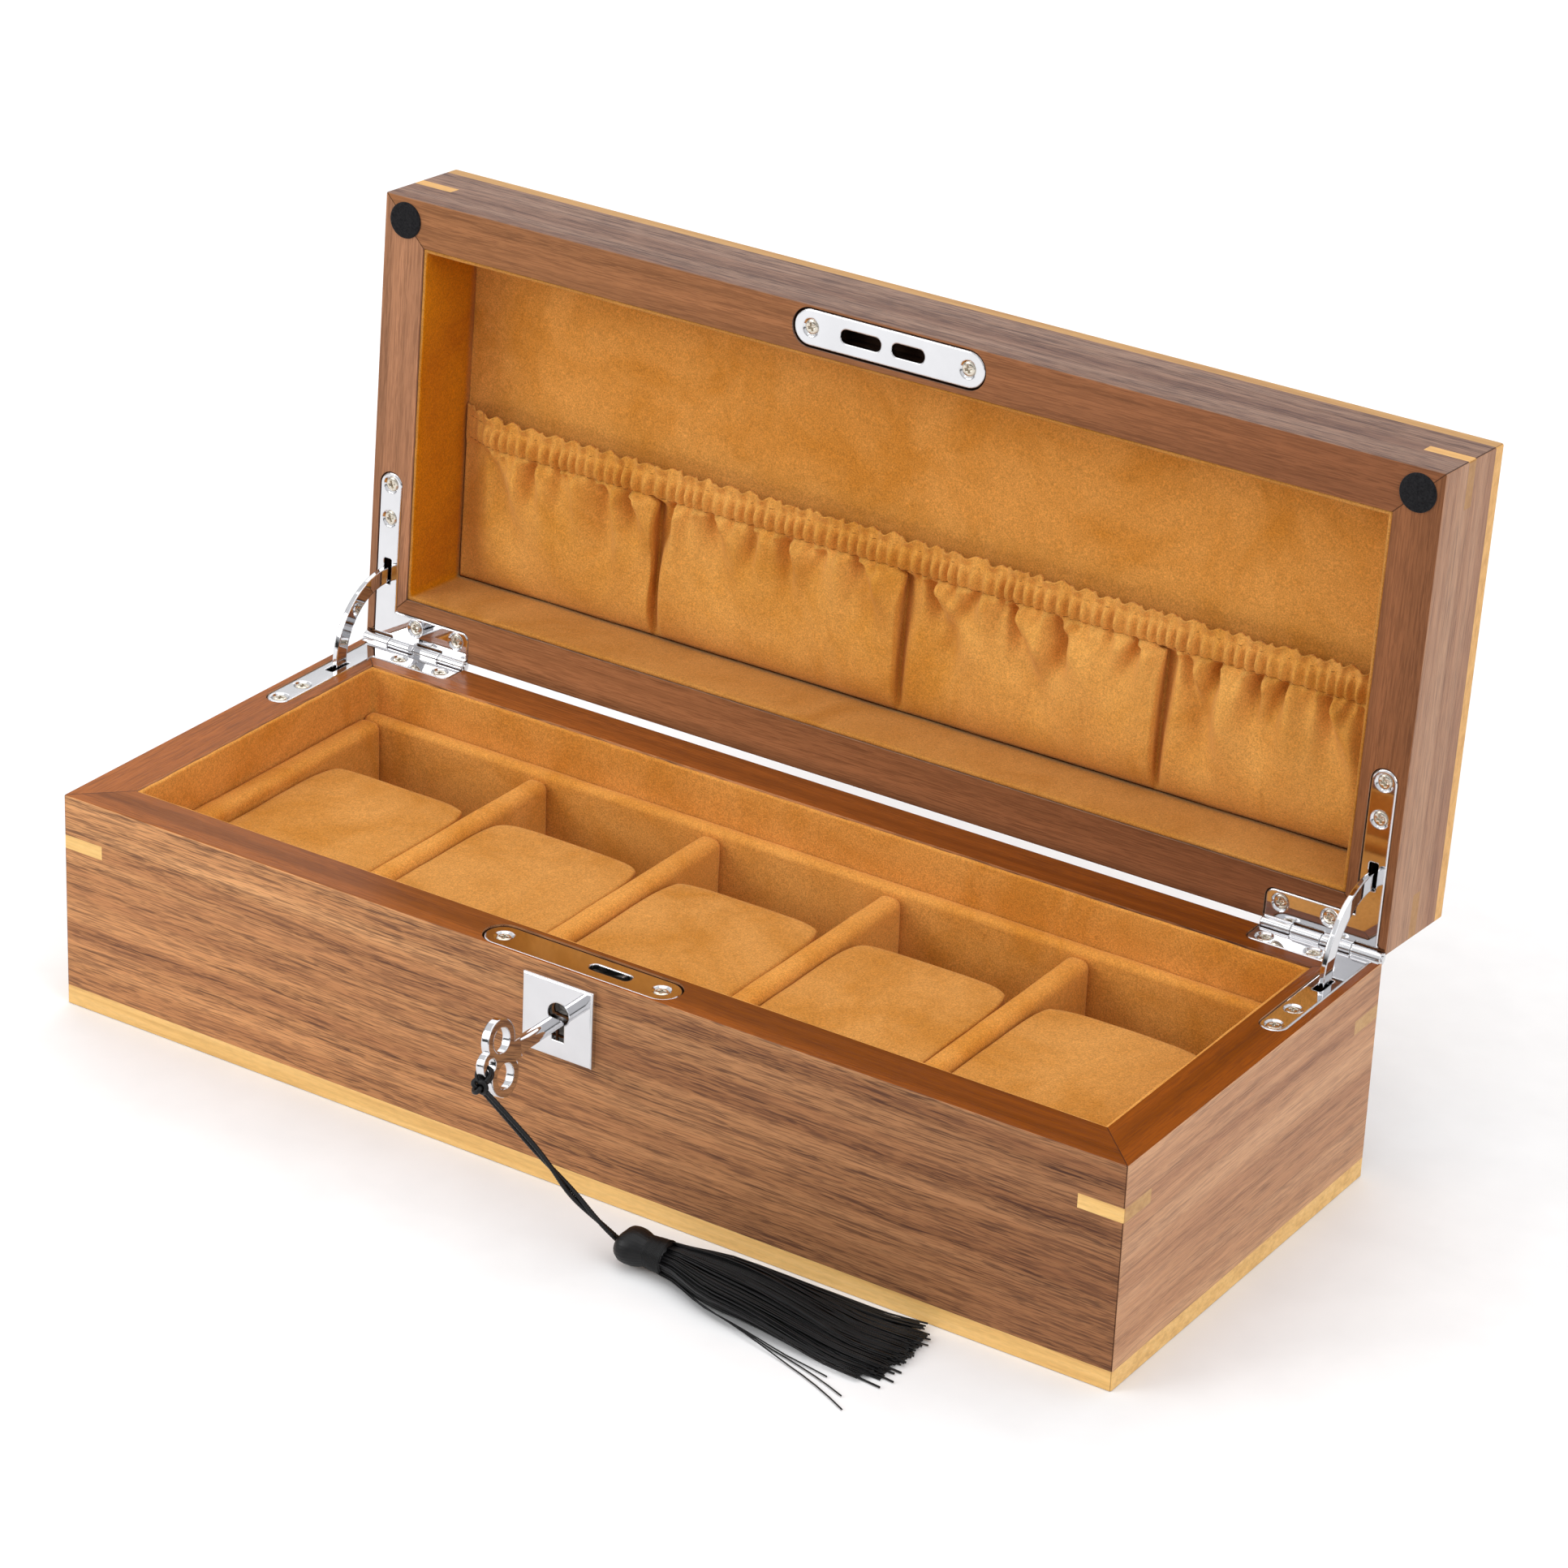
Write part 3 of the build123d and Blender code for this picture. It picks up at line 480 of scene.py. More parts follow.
def plated(name, tint, rough):
    """Plated metal: almost even, with the faint waviness and handling haze of a stamped part."""
    shader = Shader(name, {"Metallic": 1.0, "Roughness": rough})
    place = shader.coords()
    haze = shader.noise(place, 90, 4, 0.6)
    shader.colour(shader.ramp(haze, [(0.3, tuple(c * 0.93 for c in tint)), (0.7, tint)]))
    shader.roughness(shader.plus(shader.times(haze, rough * 0.8), rough * 0.6))
    eased = shader.node("ShaderNodeBevel")
    eased.samples = 6
    eased.inputs["Radius"].default_value = 0.6 * MM
    wave = shader.bump(shader.noise(place, 70, 1, 0.4), 0.3 * MM, 0.02, eased.outputs[0])
    shader.normal(shader.bump(shader.noise(place, 2600, 2, 0.5), 0.02 * MM, 0.03, wave))
    return shader.material


def felt(name, light, dark):
    shader = Shader(
        name,
        {"Roughness": 1.0, "Specular IOR Level": 0.1, "Sheen Weight": 0.12, "Sheen Roughness": 0.4},
    )
    wool = shader.noise(shader.coords(), 1500, 4, 0.7, 0.8)
    shader.colour(shader.ramp(wool, [(0.3, dark), (0.7, light)]))
    shader.normal(shader.bump(wool, 0.3 * MM, 0.7))
    return shader.material


def silk(name):
    """Black viscose thread."""
    shader = Shader(name, {"Roughness": 0.42, "Specular IOR Level": 0.3})
    place = shader.coords()
    tone = shader.noise(place, 700, 2, 0.6)
    shader.colour(shader.ramp(tone, [(0.3, (0.0012, 0.0012, 0.0014)), (0.75, (0.0055, 0.0055, 0.006))]))
    shader.normal(shader.bump(shader.noise(place, 3200, 2), 0.1 * MM, 0.4))
    return shader.material


def plywood(name):
    shader = Shader(name, {"Roughness": 0.7})
    layers = shader.streaks(shader.coords(), (30, 500, 2600), 3, 0.6)
    shader.colour(shader.ramp(layers, [(0.35, (0.36, 0.22, 0.11)), (0.65, (0.55, 0.38, 0.21))]))
    shader.normal(shader.bump(layers, 0.1 * MM, 0.4))
    return shader.material


def paint(material, *names):
    for name in names:
        slots = NODES[name].material_slots
        for spot in slots:
            spot.material = material
        if not slots:
            NODES[name].data.materials.append(material)


def paint_hard_parts():
    paint(
        walnut("walnut_base_long", "X", BASE_RIM, seed=0.31, painted_falloff=True),
        "base_front_panel", "base_back_panel",
    )
    # painted reflection: this tone greys and blues the short sides' walnut like a white sheen seen at a
    # grazing view
    paint(
        walnut("walnut_base_short", "Y", BASE_RIM, seed=0.83, tone=(0.87, 0.97, 1.27), depth=0.4),
        "base_left_panel", "base_right_panel",
    )
    # painted reflection and painted shade: the lid's tones grey and darken its walnut beside the base's, for
    # the open lid's faces that reflect the white tent
    paint(
        walnut("walnut_lid_front", "X", LID_LONG_RIM, True, 1.37, (0.43, 0.54, 0.92), depth=0.75),
        "lid_front_panel",
    )
    paint(
        walnut("walnut_lid_back", "X", LID_LONG_RIM, True, 2.71, (0.62, 0.76, 1.1), depth=0.75),
        "lid_back_panel", "lid_top_panel",
    )
    paint(
        walnut("walnut_lid_short", "Y", LID_SHORT_RIM, True, 1.91, (0.69, 0.79, 1.15), depth=0.38),
        "lid_left_panel", "lid_right_panel",
    )
    # painted shade for maple faces turned to the left and right
    painted_side_shade = (0.62, 0.56, 0.58)
    paint(maple("maple_base"), "base_maple_edging")
    paint(maple("maple_base_splines", end_painted_shade=painted_side_shade), "base_corner_splines")
    # painted shade for the lid's maple front; the lid's two maple tones below are painted shade too, darker
    # copies of the base's maple
    painted_lid_front_shade = (0.66, 0.66, 0.72)
    paint(maple("maple_lid", True, (0.88, 0.76, 0.62), front_painted_shade=painted_lid_front_shade), "lid_maple_edging")
    paint(maple("maple_lid_splines", True, (0.80, 0.70, 0.58), painted_side_shade), "lid_corner_splines")
    paint(plywood("birch_ply"), "base_board")
    paint(
        plated("chrome_plate", (0.71, 0.71, 0.725), 0.035),
        "hinge_right_base_leaf", "hinge_left_base_leaf", "hinge_right_lid_leaf", "hinge_left_lid_leaf",
        "hinge_pins", "stay_left", "stay_right", "lock_plate", "strike_plate", "escutcheon", "key",
    )
    paint(
        plated("nickel_screw", (0.70, 0.64, 0.54), 0.15),
        "hinge_base_screws", "hinge_lid_screws", "lock_screws", "strike_screws",
    )
    paint(plated("lock_steel", (0.62, 0.60, 0.57), 0.3), "lock_hook", "lock_drum", "lock_case", "lock_pivot")


# ---- mesh building

WELD = 1e-7


def build(name, points, faces, material, slot):
    """A mesh piece from points and faces, with welded points and outward faces."""
    mesh = bpy.data.meshes.new(name)
    mesh.from_pydata([tuple(p) for p in points], [], faces)
    work = bmesh.new()
    work.from_mesh(mesh)
    bmesh.ops.remove_doubles(work, verts=work.verts, dist=WELD)
    bmesh.ops.recalc_face_normals(work, faces=work.faces)
    work.to_mesh(mesh)
    work.free()
    for face in mesh.polygons:
        face.use_smooth = True
    mesh.materials.append(material)
    piece = bpy.data.objects.new(name, mesh)
    link(piece)
    return piece


def attach(piece, body, *nodes):
    """Lets a piece ride on a body and stand for CAD nodes."""
    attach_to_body(piece, body)
    if nodes:
        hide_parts(*nodes)
    return piece


def grid_faces(rows, wide, closed=False, start=0):
    """Quads between neighbouring rows of points; closed joins the end of each row to its start."""
    faces = []
    for j in range(rows - 1):
        row = start + j * wide
        for i in range(wide if closed else wide - 1):
            n = (i + 1) % wide
            faces.append((row + i, row + n, row + wide + n, row + wide + i))
    return faces


def capped_faces(rows, wide):
    """Faces of a closed skin over rings of points, with a cap on the first and the last ring."""
    first = tuple(range(wide))[::-1]
    last = tuple((rows - 1) * wide + i for i in range(wide))
    return grid_faces(rows, wide, closed=True) + [first, last]


def join_parts(parts):
    """One list of points and one of faces from several."""
    points, faces = [], []
    for more_points, more_faces in parts:
        start = len(points)
        points += list(more_points)
        faces += [tuple(start + i for i in face) for face in more_faces]
    return points, faces


def stops(low, high, radius, cell):
    """Grid lines along one side of a rounded box: fine over the round ends, even between them."""
    ends = [radius * (1 - math.tan(math.radians(angle))) for angle in (45, 30, 15)]
    count = max(1, round((high - low - 2 * radius) / cell))
    middle = [low + radius + (high - low - 2 * radius) * i / count for i in range(count + 1)]
    return [low + e for e in ends] + middle + [high - e for e in reversed(ends)]


def rounded_box(low, high, radius, cell):
    """Points and faces of a box with round edges and corners, in even cells."""
    lines = [stops(low[i], high[i], radius, cell) for i in range(3)]
    points, faces = [], []
    for axis in range(3):
        u, v = [i for i in range(3) if i != axis]
        for side in (low[axis], high[axis]):
            start = len(points)
            for a in lines[u]:
                for b in lines[v]:
                    place = [0.0, 0.0, 0.0]
                    place[axis], place[u], place[v] = side, a, b
                    points.append(place)
            faces += grid_faces(len(lines[u]), len(lines[v]), start=start)
    place = np.array(points)
    core = np.clip(place, np.array(low) + radius, np.array(high) - radius)
    reach = place - core
    length = np.linalg.norm(reach, axis=1, keepdims=True)
    place = core + reach / np.maximum(length, 1e-9) * np.minimum(length, radius)
    return [Vector(p) for p in place], faces


def places_of(piece):
    return np.array([v.co for v in piece.data.vertices])


def roughen(piece, amount, wavelength, seed):
    """Moves each point along its normal by smooth noise, as cloth over padding is never quite even."""
    mesh = piece.data
    offset = Vector((seed, seed * 1.7, seed * 0.6))
    places = places_of(piece)
    normals = np.array([v.normal for v in mesh.vertices])
    push = [noise.noise(Vector(p) / wavelength + offset) for p in places]
    places += normals * amount * np.array(push)[:, None]
    mesh.vertices.foreach_set("co", places.ravel())
    mesh.update()


def lid_piece(piece, *nodes):
    """Turns a piece built on the shut lid to the open lid, and lets it ride there for CAD nodes."""
    piece.data.transform(lid_open)
    piece.data.update()
    return attach(piece, "lid", *nodes)


def circle(count):
    """Angles in even steps round a circle."""
    return [2 * math.pi * k / count for k in range(count)]


def heading(line, i):
    """Direction of a line of points at its point i."""
    return (line[min(i + 1, len(line) - 1)] - line[max(i - 1, 0)]).normalized()


def tube(line, radius, sides):
    """Points and faces of a closed tube along a line; radius is a number or one per point."""
    line = [Vector(p) for p in line]
    radii = radius if isinstance(radius, (list, tuple)) else [radius] * len(line)
    points = []
    side = None
    for i, place in enumerate(line):
        ahead = heading(line, i)
        if side is None:
            side = ahead.orthogonal().normalized()
        side = (side - ahead * side.dot(ahead)).normalized()
        other = ahead.cross(side)
        for turn in circle(sides):
            points.append(place + (side * math.cos(turn) + other * math.sin(turn)) * radii[i])
    return points, capped_faces(len(line), sides)


def ripple(x, y, z):
    """Smooth noise between about -1 and 1."""
    return noise.noise(Vector((x, y, z)))


def smooth_step(x):
    x = min(1.0, max(0.0, x))
    return x * x * (3 - 2 * x)


# ---- suede fittings

LINING = 1.3 * MM
BACK_LINING = 1.6 * MM
BACK_ROUND = 0.6 * MM
LINING_STEP = 2.5 * MM
LINING_ROWS = 8
EDGE_STEPS = 6


def lining_section(thick, far_z, edge_z):
    """Outline of a lining strip as (inset, z): up its outside, over the turned edge and down its inside."""
    edge_round = thick * 0.48 * (1 if far_z > edge_z else -1)
    section = [(0.0, far_z), (0.0, edge_z + edge_round)]
    for k in range(1, EDGE_STEPS):
        turn = math.pi * k / EDGE_STEPS
        section.append((thick / 2 * (1 - math.cos(turn)), edge_z + edge_round * (1 - math.sin(turn))))
    section.append((thick, edge_z + edge_round))
    section += [(thick, edge_z + (far_z - edge_z) * k / LINING_ROWS) for k in range(1, LINING_ROWS + 1)]
    return section


def lining_ring(low, high, far_z, edge_z, seed):
    """Four lining strips round a rectangular well, mitred in its corners, with a soft turned edge."""
    section = lining_section(LINING, far_z, edge_z)
    into = 1 if far_z > edge_z else -1
    corners = [(low.x, low.y), (high.x, low.y), (high.x, high.y), (low.x, high.y)]
    inward = [(1, 1), (-1, 1), (-1, -1), (1, -1)]
    around = []
    for c in range(4):
        d = (c + 1) % 4
        count = round(math.dist(corners[c], corners[d]) / LINING_STEP)
        around += [(c, d, i / count) for i in range(count)]
    points = []
    for c, d, share in around:
        for inset, z in section:
            a = Vector(corners[c]) + Vector(inward[c]) * inset
            b = Vector(corners[d]) + Vector(inward[d]) * inset
            flat = a.lerp(b, share)
            if inset > LINING * 0.3:
                normal = Vector((b - a).orthogonal()).normalized()
                wave = noise.noise(Vector((flat.x, flat.y, z)) * 55 + Vector((seed, 0, 0)))
                flat += normal * wave * 0.18 * MM
            edge = 0
            if abs(z - edge_z) < LINING:
                edge = noise.noise(Vector((flat.x, flat.y, seed)) * 160) * 0.16 * MM
            points.append(Vector((flat.x, flat.y, z + edge * into)))
    wide = len(section)
    rows = len(around)
    faces = []
    for i in range(rows):
        here, there = i * wide, (i + 1) % rows * wide
        for k in range(wide):
            n = (k + 1) % wide
            faces.append((here + k, there + k, there + n, here + n))
    return points, faces


def line_base(cloth):
    low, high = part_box("base_lining")
    points, faces = lining_ring(low, high, low.z, high.z, 3.0)
    piece = build("base_lining_suede", points, faces, cloth, "suede")
    attach(piece, "base", "base_lining")


def line_lid(cloth, wall_cloth):
    low, high = shut_box("lid_wall_lining")
    points, faces = lining_ring(low, high, high.z, low.z, 7.0)
    walls = lid_piece(build("lid_wall_lining_suede", points, faces, wall_cloth, "suede"), "lid_wall_lining")
    low, high = shut_box("lid_back_lining")
    points, faces = rounded_box(low, (high.x, high.y, low.z + BACK_LINING), BACK_ROUND, LINING_STEP)
    back = build("lid_back_lining_suede", points, faces, cloth, "suede")
    roughen(back, 0.22 * MM, 28 * MM, 5.0)
    roughen(back, 0.08 * MM, 7 * MM, 9.0)
    lid_piece(back, "lid_back_lining")


END_RAIL_WIDTH = 7.5 * MM
BOARD_CELL = 2.2 * MM
DIVIDER_ROUND = 2.6 * MM
LONG_RAIL_ROUND = 2.0 * MM
FLOOR_ROUND = 0.9 * MM


def cover_board(node, boxes, radius, cloth, seed):
    """A tray board with thin padding under its suede: round edges and a slightly uneven skin."""
    parts = [rounded_box(low, high, radius, BOARD_CELL) for low, high in boxes]
    piece = build(node + "_suede", *join_parts(parts), cloth, "suede")
    roughen(piece, 0.16 * MM, 16 * MM, seed)
    roughen(piece, 0.05 * MM, 5 * MM, seed + 3)
    return attach(piece, "base", node)


def fit_tray(cloth):
    for i in range(1, 5):
        node = "tray_divider_%d" % i
        cover_board(node, [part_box(node)], DIVIDER_ROUND, cloth, i * 2.3)
    for node in ("tray_front_rail", "tray_back_rail"):
        cover_board(node, [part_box(node)], LONG_RAIL_ROUND, cloth, len(node) * 0.7)
    low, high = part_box("tray_end_rails")
    left_rail = (low, Vector((low.x + END_RAIL_WIDTH, high.y, high.z)))
    right_rail = (Vector((high.x - END_RAIL_WIDTH, low.y, low.z)), high)
    rails = cover_board("tray_end_rails", [left_rail, right_rail], DIVIDER_ROUND, cloth, 11.0)
    cover_board("tray_floor", [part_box("tray_floor")], FLOOR_ROUND, cloth, 13.0)


CUSHION_SHRINK = Vector((2.0, 2.0, 1.6)) * MM
CUSHION_SWELL = 3.2 * MM
CUSHION_ROUND = 5.0 * MM
CUSHION_CELL = 2.5 * MM
CUSHION_VOXEL = 4 * MM
CUSHION_GAP = 0.3 * MM
CUSHION_PRESS = np.array([2.4, 2.4, 0.7]) * MM
SWELLING_FRAMES = 20


def stuff_cushions(cloth):
    """Five watch pillows: closed covers blown up from a smaller form and kept inside their bays."""
    pieces = []
    for i in range(1, 6):
        node = "cushion_%d" % i
        low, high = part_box(node)
        smaller = (low + CUSHION_SHRINK, high - CUSHION_SHRINK)
        points, faces = rounded_box(*smaller, CUSHION_ROUND, CUSHION_CELL)
        piece = build(node + "_suede", points, faces, cloth, "suede")
        pieces.append((piece, node, low, high))
    inflate([piece for piece, *_ in pieces])
    for number, (piece, node, low, high) in enumerate(pieces):
        keep_in(piece, low, high)
        roughen(piece, 0.35 * MM, 24 * MM, number * 4.1 + 1)
        roughen(piece, 0.12 * MM, 8 * MM, number * 2.9 + 2)
        smooth = piece.modifiers.new("smooth", "SUBSURF")
        smooth.levels = smooth.render_levels = 1
        attach(piece, node, node)


def inflate(pieces):
    """Blows closed covers up with cloth simulation and keeps the result as their mesh."""
    scene = bpy.context.scene
    starts = {}
    for piece in pieces:
        remesh = piece.modifiers.new("remesh", "REMESH")
        remesh.mode = "VOXEL"
        remesh.voxel_size = CUSHION_VOXEL
        applied(piece)
        starts[piece.name] = places_of(piece)
        cover = piece.modifiers.new("cover", "CLOTH")
        cover.settings.use_pressure = True
        cover.settings.uniform_pressure_force = 4
        cover.settings.effector_weights.gravity = 0
        cover.settings.quality = 6
        cover.settings.mass = 0.3
    for number in range(1, SWELLING_FRAMES + 1):
        scene.frame_set(number)
    for piece in pieces:
        applied(piece)
        start = starts[piece.name]
        move = places_of(piece) - start
        far = np.linalg.norm(move, axis=1, keepdims=True)
        move *= np.minimum(1, CUSHION_SWELL / np.maximum(far, 1e-9))
        piece.data.vertices.foreach_set("co", (start + move).ravel())
        for face in piece.data.polygons:
            face.use_smooth = True
        piece.data.update()
    scene.frame_set(1)


def applied(piece):
    """Replaces a piece's mesh by what its modifiers make of it."""
    graph = bpy.context.evaluated_depsgraph_get()
    made = bpy.data.meshes.new_from_object(piece.evaluated_get(graph), depsgraph=graph)
    made.materials.clear()
    made.materials.append(piece.data.materials[0])
    piece.modifiers.clear()
    piece.data = made


def keep_in(piece, low, high):
    """Stretches a swollen cover to fill its room and presses it flat where it meets the walls."""
    places = places_of(piece)
    least, most = places.min(axis=0), places.max(axis=0)
    floor, ceiling = np.array(low) + CUSHION_GAP, np.array(high) - CUSHION_GAP
    out = (places - least) / (most - least) * 2 - 1
    share = np.maximum(np.abs(out), 1e-6)
    # the rounding between two faces is drawn out towards their edge
    x, y, z = share.T
    fuller = [(side ** 4 + z ** 4) ** 0.25 / np.maximum(side, z) for side in (x, y)]
    share *= np.array([*fuller, np.maximum(*fuller)]).T
    half = (ceiling - floor) / 2
    share = np.minimum(share * (half + CUSHION_PRESS) / half, 1)
    # rounded corners in plan
    round_off = np.maximum((share[:, 0] ** 7 + share[:, 1] ** 7) ** (1 / 7), 1)
    share[:, :2] /= round_off[:, None]
    places = (floor + ceiling) / 2 + np.sign(out) * share * half
    piece.data.vertices.foreach_set("co", places.ravel())


# ---- gathered pocket

POCKET_SEAMS = (-81.5 * MM, 0.0, 81.5 * MM)
PLEAT = 3.35 * MM
GATHERS = 6
CASING_ROWS = 22
FRONT_ROWS = 44
FRILL = 2.7 * MM
COLUMNS = 620
STITCH_PITCH = 2.1 * MM
STITCH_LENGTH = 1.35 * MM
PINCH = 0.9 * MM
SEAM_RAMP = 1.7 * MM
CLOTH = 0.8 * MM


def pleat_phase(x):
    """Where x lies in the row of small pleats, whose widths vary."""
    return 2 * math.pi * (x / PLEAT + 0.55 * ripple(x * 75, 4.2, 1.0))


class Pocket:
    """Depth in front of the back lining of the gathered pocket, on the shut lid."""

    def __init__(self):
        casing_low, casing_high = shut_box("lid_pocket_casing")
        _, front_high = shut_box("lid_pocket_front")
        self.left, self.right = casing_low.x, casing_high.x
        self.edges = (self.left, *POCKET_SEAMS, self.right)
        self.top = casing_low.y
        self.stitch_1 = casing_low.y + FRILL
        self.stitch_2 = casing_high.y - 0.5 * MM
        self.bottom = front_high.y
        self.back = shut_box("lid_back_lining")[0].z
        self.full = self.back - shut_box("lid_pocket_front")[0].z - 0.6 * MM
        self.folds = self.gathers()

    def gathers(self):
        """Folds that run down from the casing: place, lean, width, depth and length of each."""
        draw = random.Random(23)
        folds = []
        for a, b in zip(self.edges, self.edges[1:]):
            for k in range(GATHERS):
                place = a + (b - a) * (k + 0.75 + draw.uniform(-0.28, 0.28)) / (GATHERS + 0.6)
                lean = draw.uniform(-0.45, 0.45)
                width = draw.uniform(1.3, 2.1) * MM
                folds.append((place, lean, width, draw.uniform(3.4, 6.6) * MM, draw.uniform(11, 28) * MM))
        return folds

    def gather(self, x, down):
        """Depth that the folds add at x, this far below the casing."""
        total = 0.0
        for place, lean, width, deep, long in self.folds:
            if abs(x - place) > 26 * MM:
                continue
            wide = width + 0.13 * down
            off = (x - place - lean * down) / wide
            fall = deep * smooth_step((down + 1 * MM) / (4 * MM)) * math.exp(-((down / long) ** 1.4))
            total += fall * (0.62 * math.exp(-(((off - 2.1) / 1.5) ** 2)) - math.exp(-off * off))
        return total

    def compartment(self, x):
        """Number of the compartment that x is in, and how far it is from its left and right end."""
        for number, (a, b) in enumerate(zip(self.edges, self.edges[1:])):
            if x <= b or b == self.right:
                return number, x - a, b - x

    def sewn(self, x, y):
        """How far the cloth is drawn back to the seams, 0 at a seam and 1 away from it."""
        number, from_left, to_right = self.compartment(x)
        slow = (10 - 6 * (y - self.stitch_2) / (self.bottom - self.stitch_2)) * MM if number else 18 * MM
        gentle = smooth_step(from_left / slow) ** 0.8
        if number == 3:
            return gentle * smooth_step(to_right / (9 * MM)) ** 0.5
        return gentle * smooth_step(to_right / SEAM_RAMP) ** 0.7

    def depth(self, x, y):
        phase = pleat_phase(x)
        calm = smooth_step((x - self.left) / (16 * MM))
        uneven = 0.75 + 0.5 * ripple(x * 160, 9.1, y * 20)
        pleat = math.sin(phase) * uneven * (0.25 + 0.75 * calm)
        if y <= self.stitch_2:
            low = 1.5 * MM
            inward = smooth_step((x - self.left) / (15 * MM)) * smooth_step((self.right - x) / (9 * MM))
            return low + (self.casing(x, y, pleat, phase) - low) * inward ** 0.7
        down = y - self.stitch_2
        number, from_left, to_right = self.compartment(x)
        at_wall = (number == 0 and from_left < to_right) or (number == 3 and to_right < from_left)
        seam_depth = 1.1 * MM + (0.4 if at_wall else 4.6) * MM * smooth_step(1 - down / (2.6 * MM))
        hang = self.full + 0.2 * MM + self.folded(x, y, down, pleat, phase) * calm
        rise = 1 - math.exp(-(self.bottom - y) / (6.5 * MM))
        body = seam_depth + (hang - seam_depth) * self.sewn(x, y)
        return max(0.95 * MM, 0.9 * MM + (body - 0.9 * MM) * rise)

    def folded(self, x, y, down, pleat, phase):
        """Depth that pleats, gathers and loose folds add this far below the casing."""
        short = math.sin(phase * 0.5 + 1.3 * ripple(x * 40, 2.0, y * 30))
        middle = ripple(x * 95 + down * 70 * ripple(x * 21, 0, 3), y * 12, 5.5)
        broad = ripple(x * 34 + y * 6, y * 16, 8.5)
        return (
            1.2 * MM * pleat * math.exp(-down / (2.4 * MM))
            + 1.7 * MM * short * math.exp(-down / (7.5 * MM))
            + self.gather(x, down)
            + 2.6 * MM * middle * math.exp(-down / (22 * MM)) * smooth_step(down / (4 * MM))
            + 2.8 * MM * broad * smooth_step(down / (10 * MM))
        )

    def casing(self, x, y, pleat, phase):
        """The elastic channel between its two rows of stitches, and the frill above it."""
        if y >= self.stitch_1:
            share = (y - self.stitch_1) / (self.stitch_2 - self.stitch_1)
            crown = math.sin(math.pi * share)
            return self.full - PINCH + PINCH * 1.25 * crown ** 0.6 + (0.7 + 1.05 * crown) * MM * pleat
        share = self.frill_share(y)
        frill = math.sin(phase * 0.5 + 1.9 * ripple(x * 120, 6.0, 0))
        lean = PINCH * 0.6 * smooth_step(share)
        return self.full + 0.1 * MM - PINCH + lean + (0.6 * (1 - share) * pleat + 1.3 * share * frill) * MM

    def frill_share(self, y):
        """How far y is up the frill, from 0 at the upper row of stitches to 1 at its edge."""
        return max(0.0, (self.stitch_1 - y) / (self.stitch_1 - self.top))

    def edge_lift(self, x, y):
        """The frill's scalloped top edge."""
        scallop = 0.4 * math.sin(pleat_phase(x) + 0.8) + 0.9 * ripple(x * 210, 3.0, 7.0)
        return self.frill_share(y) * scallop * MM

    def overhang(self, x, y):
        """How far the full side of a compartment folds over the seam on its right."""
        number, _, to_right = self.compartment(x)
        if number == 3 or y < self.stitch_2:
            return 0.0
        share = (y - self.stitch_2) / (self.bottom - self.stitch_2)
        reach = (4.6 - 3.4 * share) * MM * smooth_step(share / 0.035)
        return reach * smooth_step(to_right / SEAM_RAMP) * math.exp(-to_right / (7 * MM))

    def point(self, x, y, lift=0.0):
        z = self.back - self.depth(x, y) - lift
        return Vector((x + self.overhang(x, y), y - self.edge_lift(x, y), z))


def sew_pocket(cloth, thread):
    """The gathered pocket across the lid, with its casing, frill, three seams and two rows of stitches."""
    shape = Pocket()
    rows = [shape.top + (shape.stitch_2 - shape.top) * i / CASING_ROWS for i in range(CASING_ROWS + 1)]
    front_height = shape.bottom - shape.stitch_2
    rows += [shape.stitch_2 + front_height * (i / FRONT_ROWS) ** 1.15 for i in range(1, FRONT_ROWS + 1)]
    front, back = [], []
    for y in rows:
        for i in range(COLUMNS + 1):
            place = shape.point(shape.left + (shape.right - shape.left) * i / COLUMNS, y)
            front.append(place)
            back.append(Vector((place.x, place.y, min(place.z + CLOTH, shape.back - 0.05 * MM))))
    wide, half = COLUMNS + 1, len(front)
    faces = grid_faces(len(rows), wide) + grid_faces(len(rows), wide, start=half)
    right_edge = [(j + 1) * wide - 1 for j in range(len(rows))]
    left_edge = [j * wide for j in reversed(range(len(rows)))]
    border = [*range(wide), *right_edge[1:], *reversed(range(half - wide, half - 1)), *left_edge[1:]]
    faces += [(a, b, half + b, half + a) for a, b in zip(border, border[1:])]
    pocket = build("lid_pocket_suede", front + back, faces, cloth, "suede")
    lid_piece(pocket, "lid_pocket_front", "lid_pocket_casing", "lid_pocket_seams")
    stitches = []
    count = int((shape.right - shape.left - 4 * MM) / STITCH_PITCH)
    for y in (shape.stitch_1, shape.stitch_2):
        for i in range(count):
            x = shape.left + 2 * MM + i * STITCH_PITCH
            line = [shape.point(x + STITCH_LENGTH * k / 4, y, 0.02 * MM) for k in range(5)]
            stitches.append(tube(line, [r * MM for r in (0.05, 0.12, 0.13, 0.12, 0.05)], 6))
    row = lid_piece(build("lid_pocket_stitches", *join_parts(stitches), thread, "suede"))


# ---- felt and baize

BUMPER_STEPS = 48
BUMPER_FACE = ((0.0, 0), (0.35, 0), (0.62, 0), (0.84, 0), (0.94, 0.06), (0.985, 0.18), (1.0, 0.36))


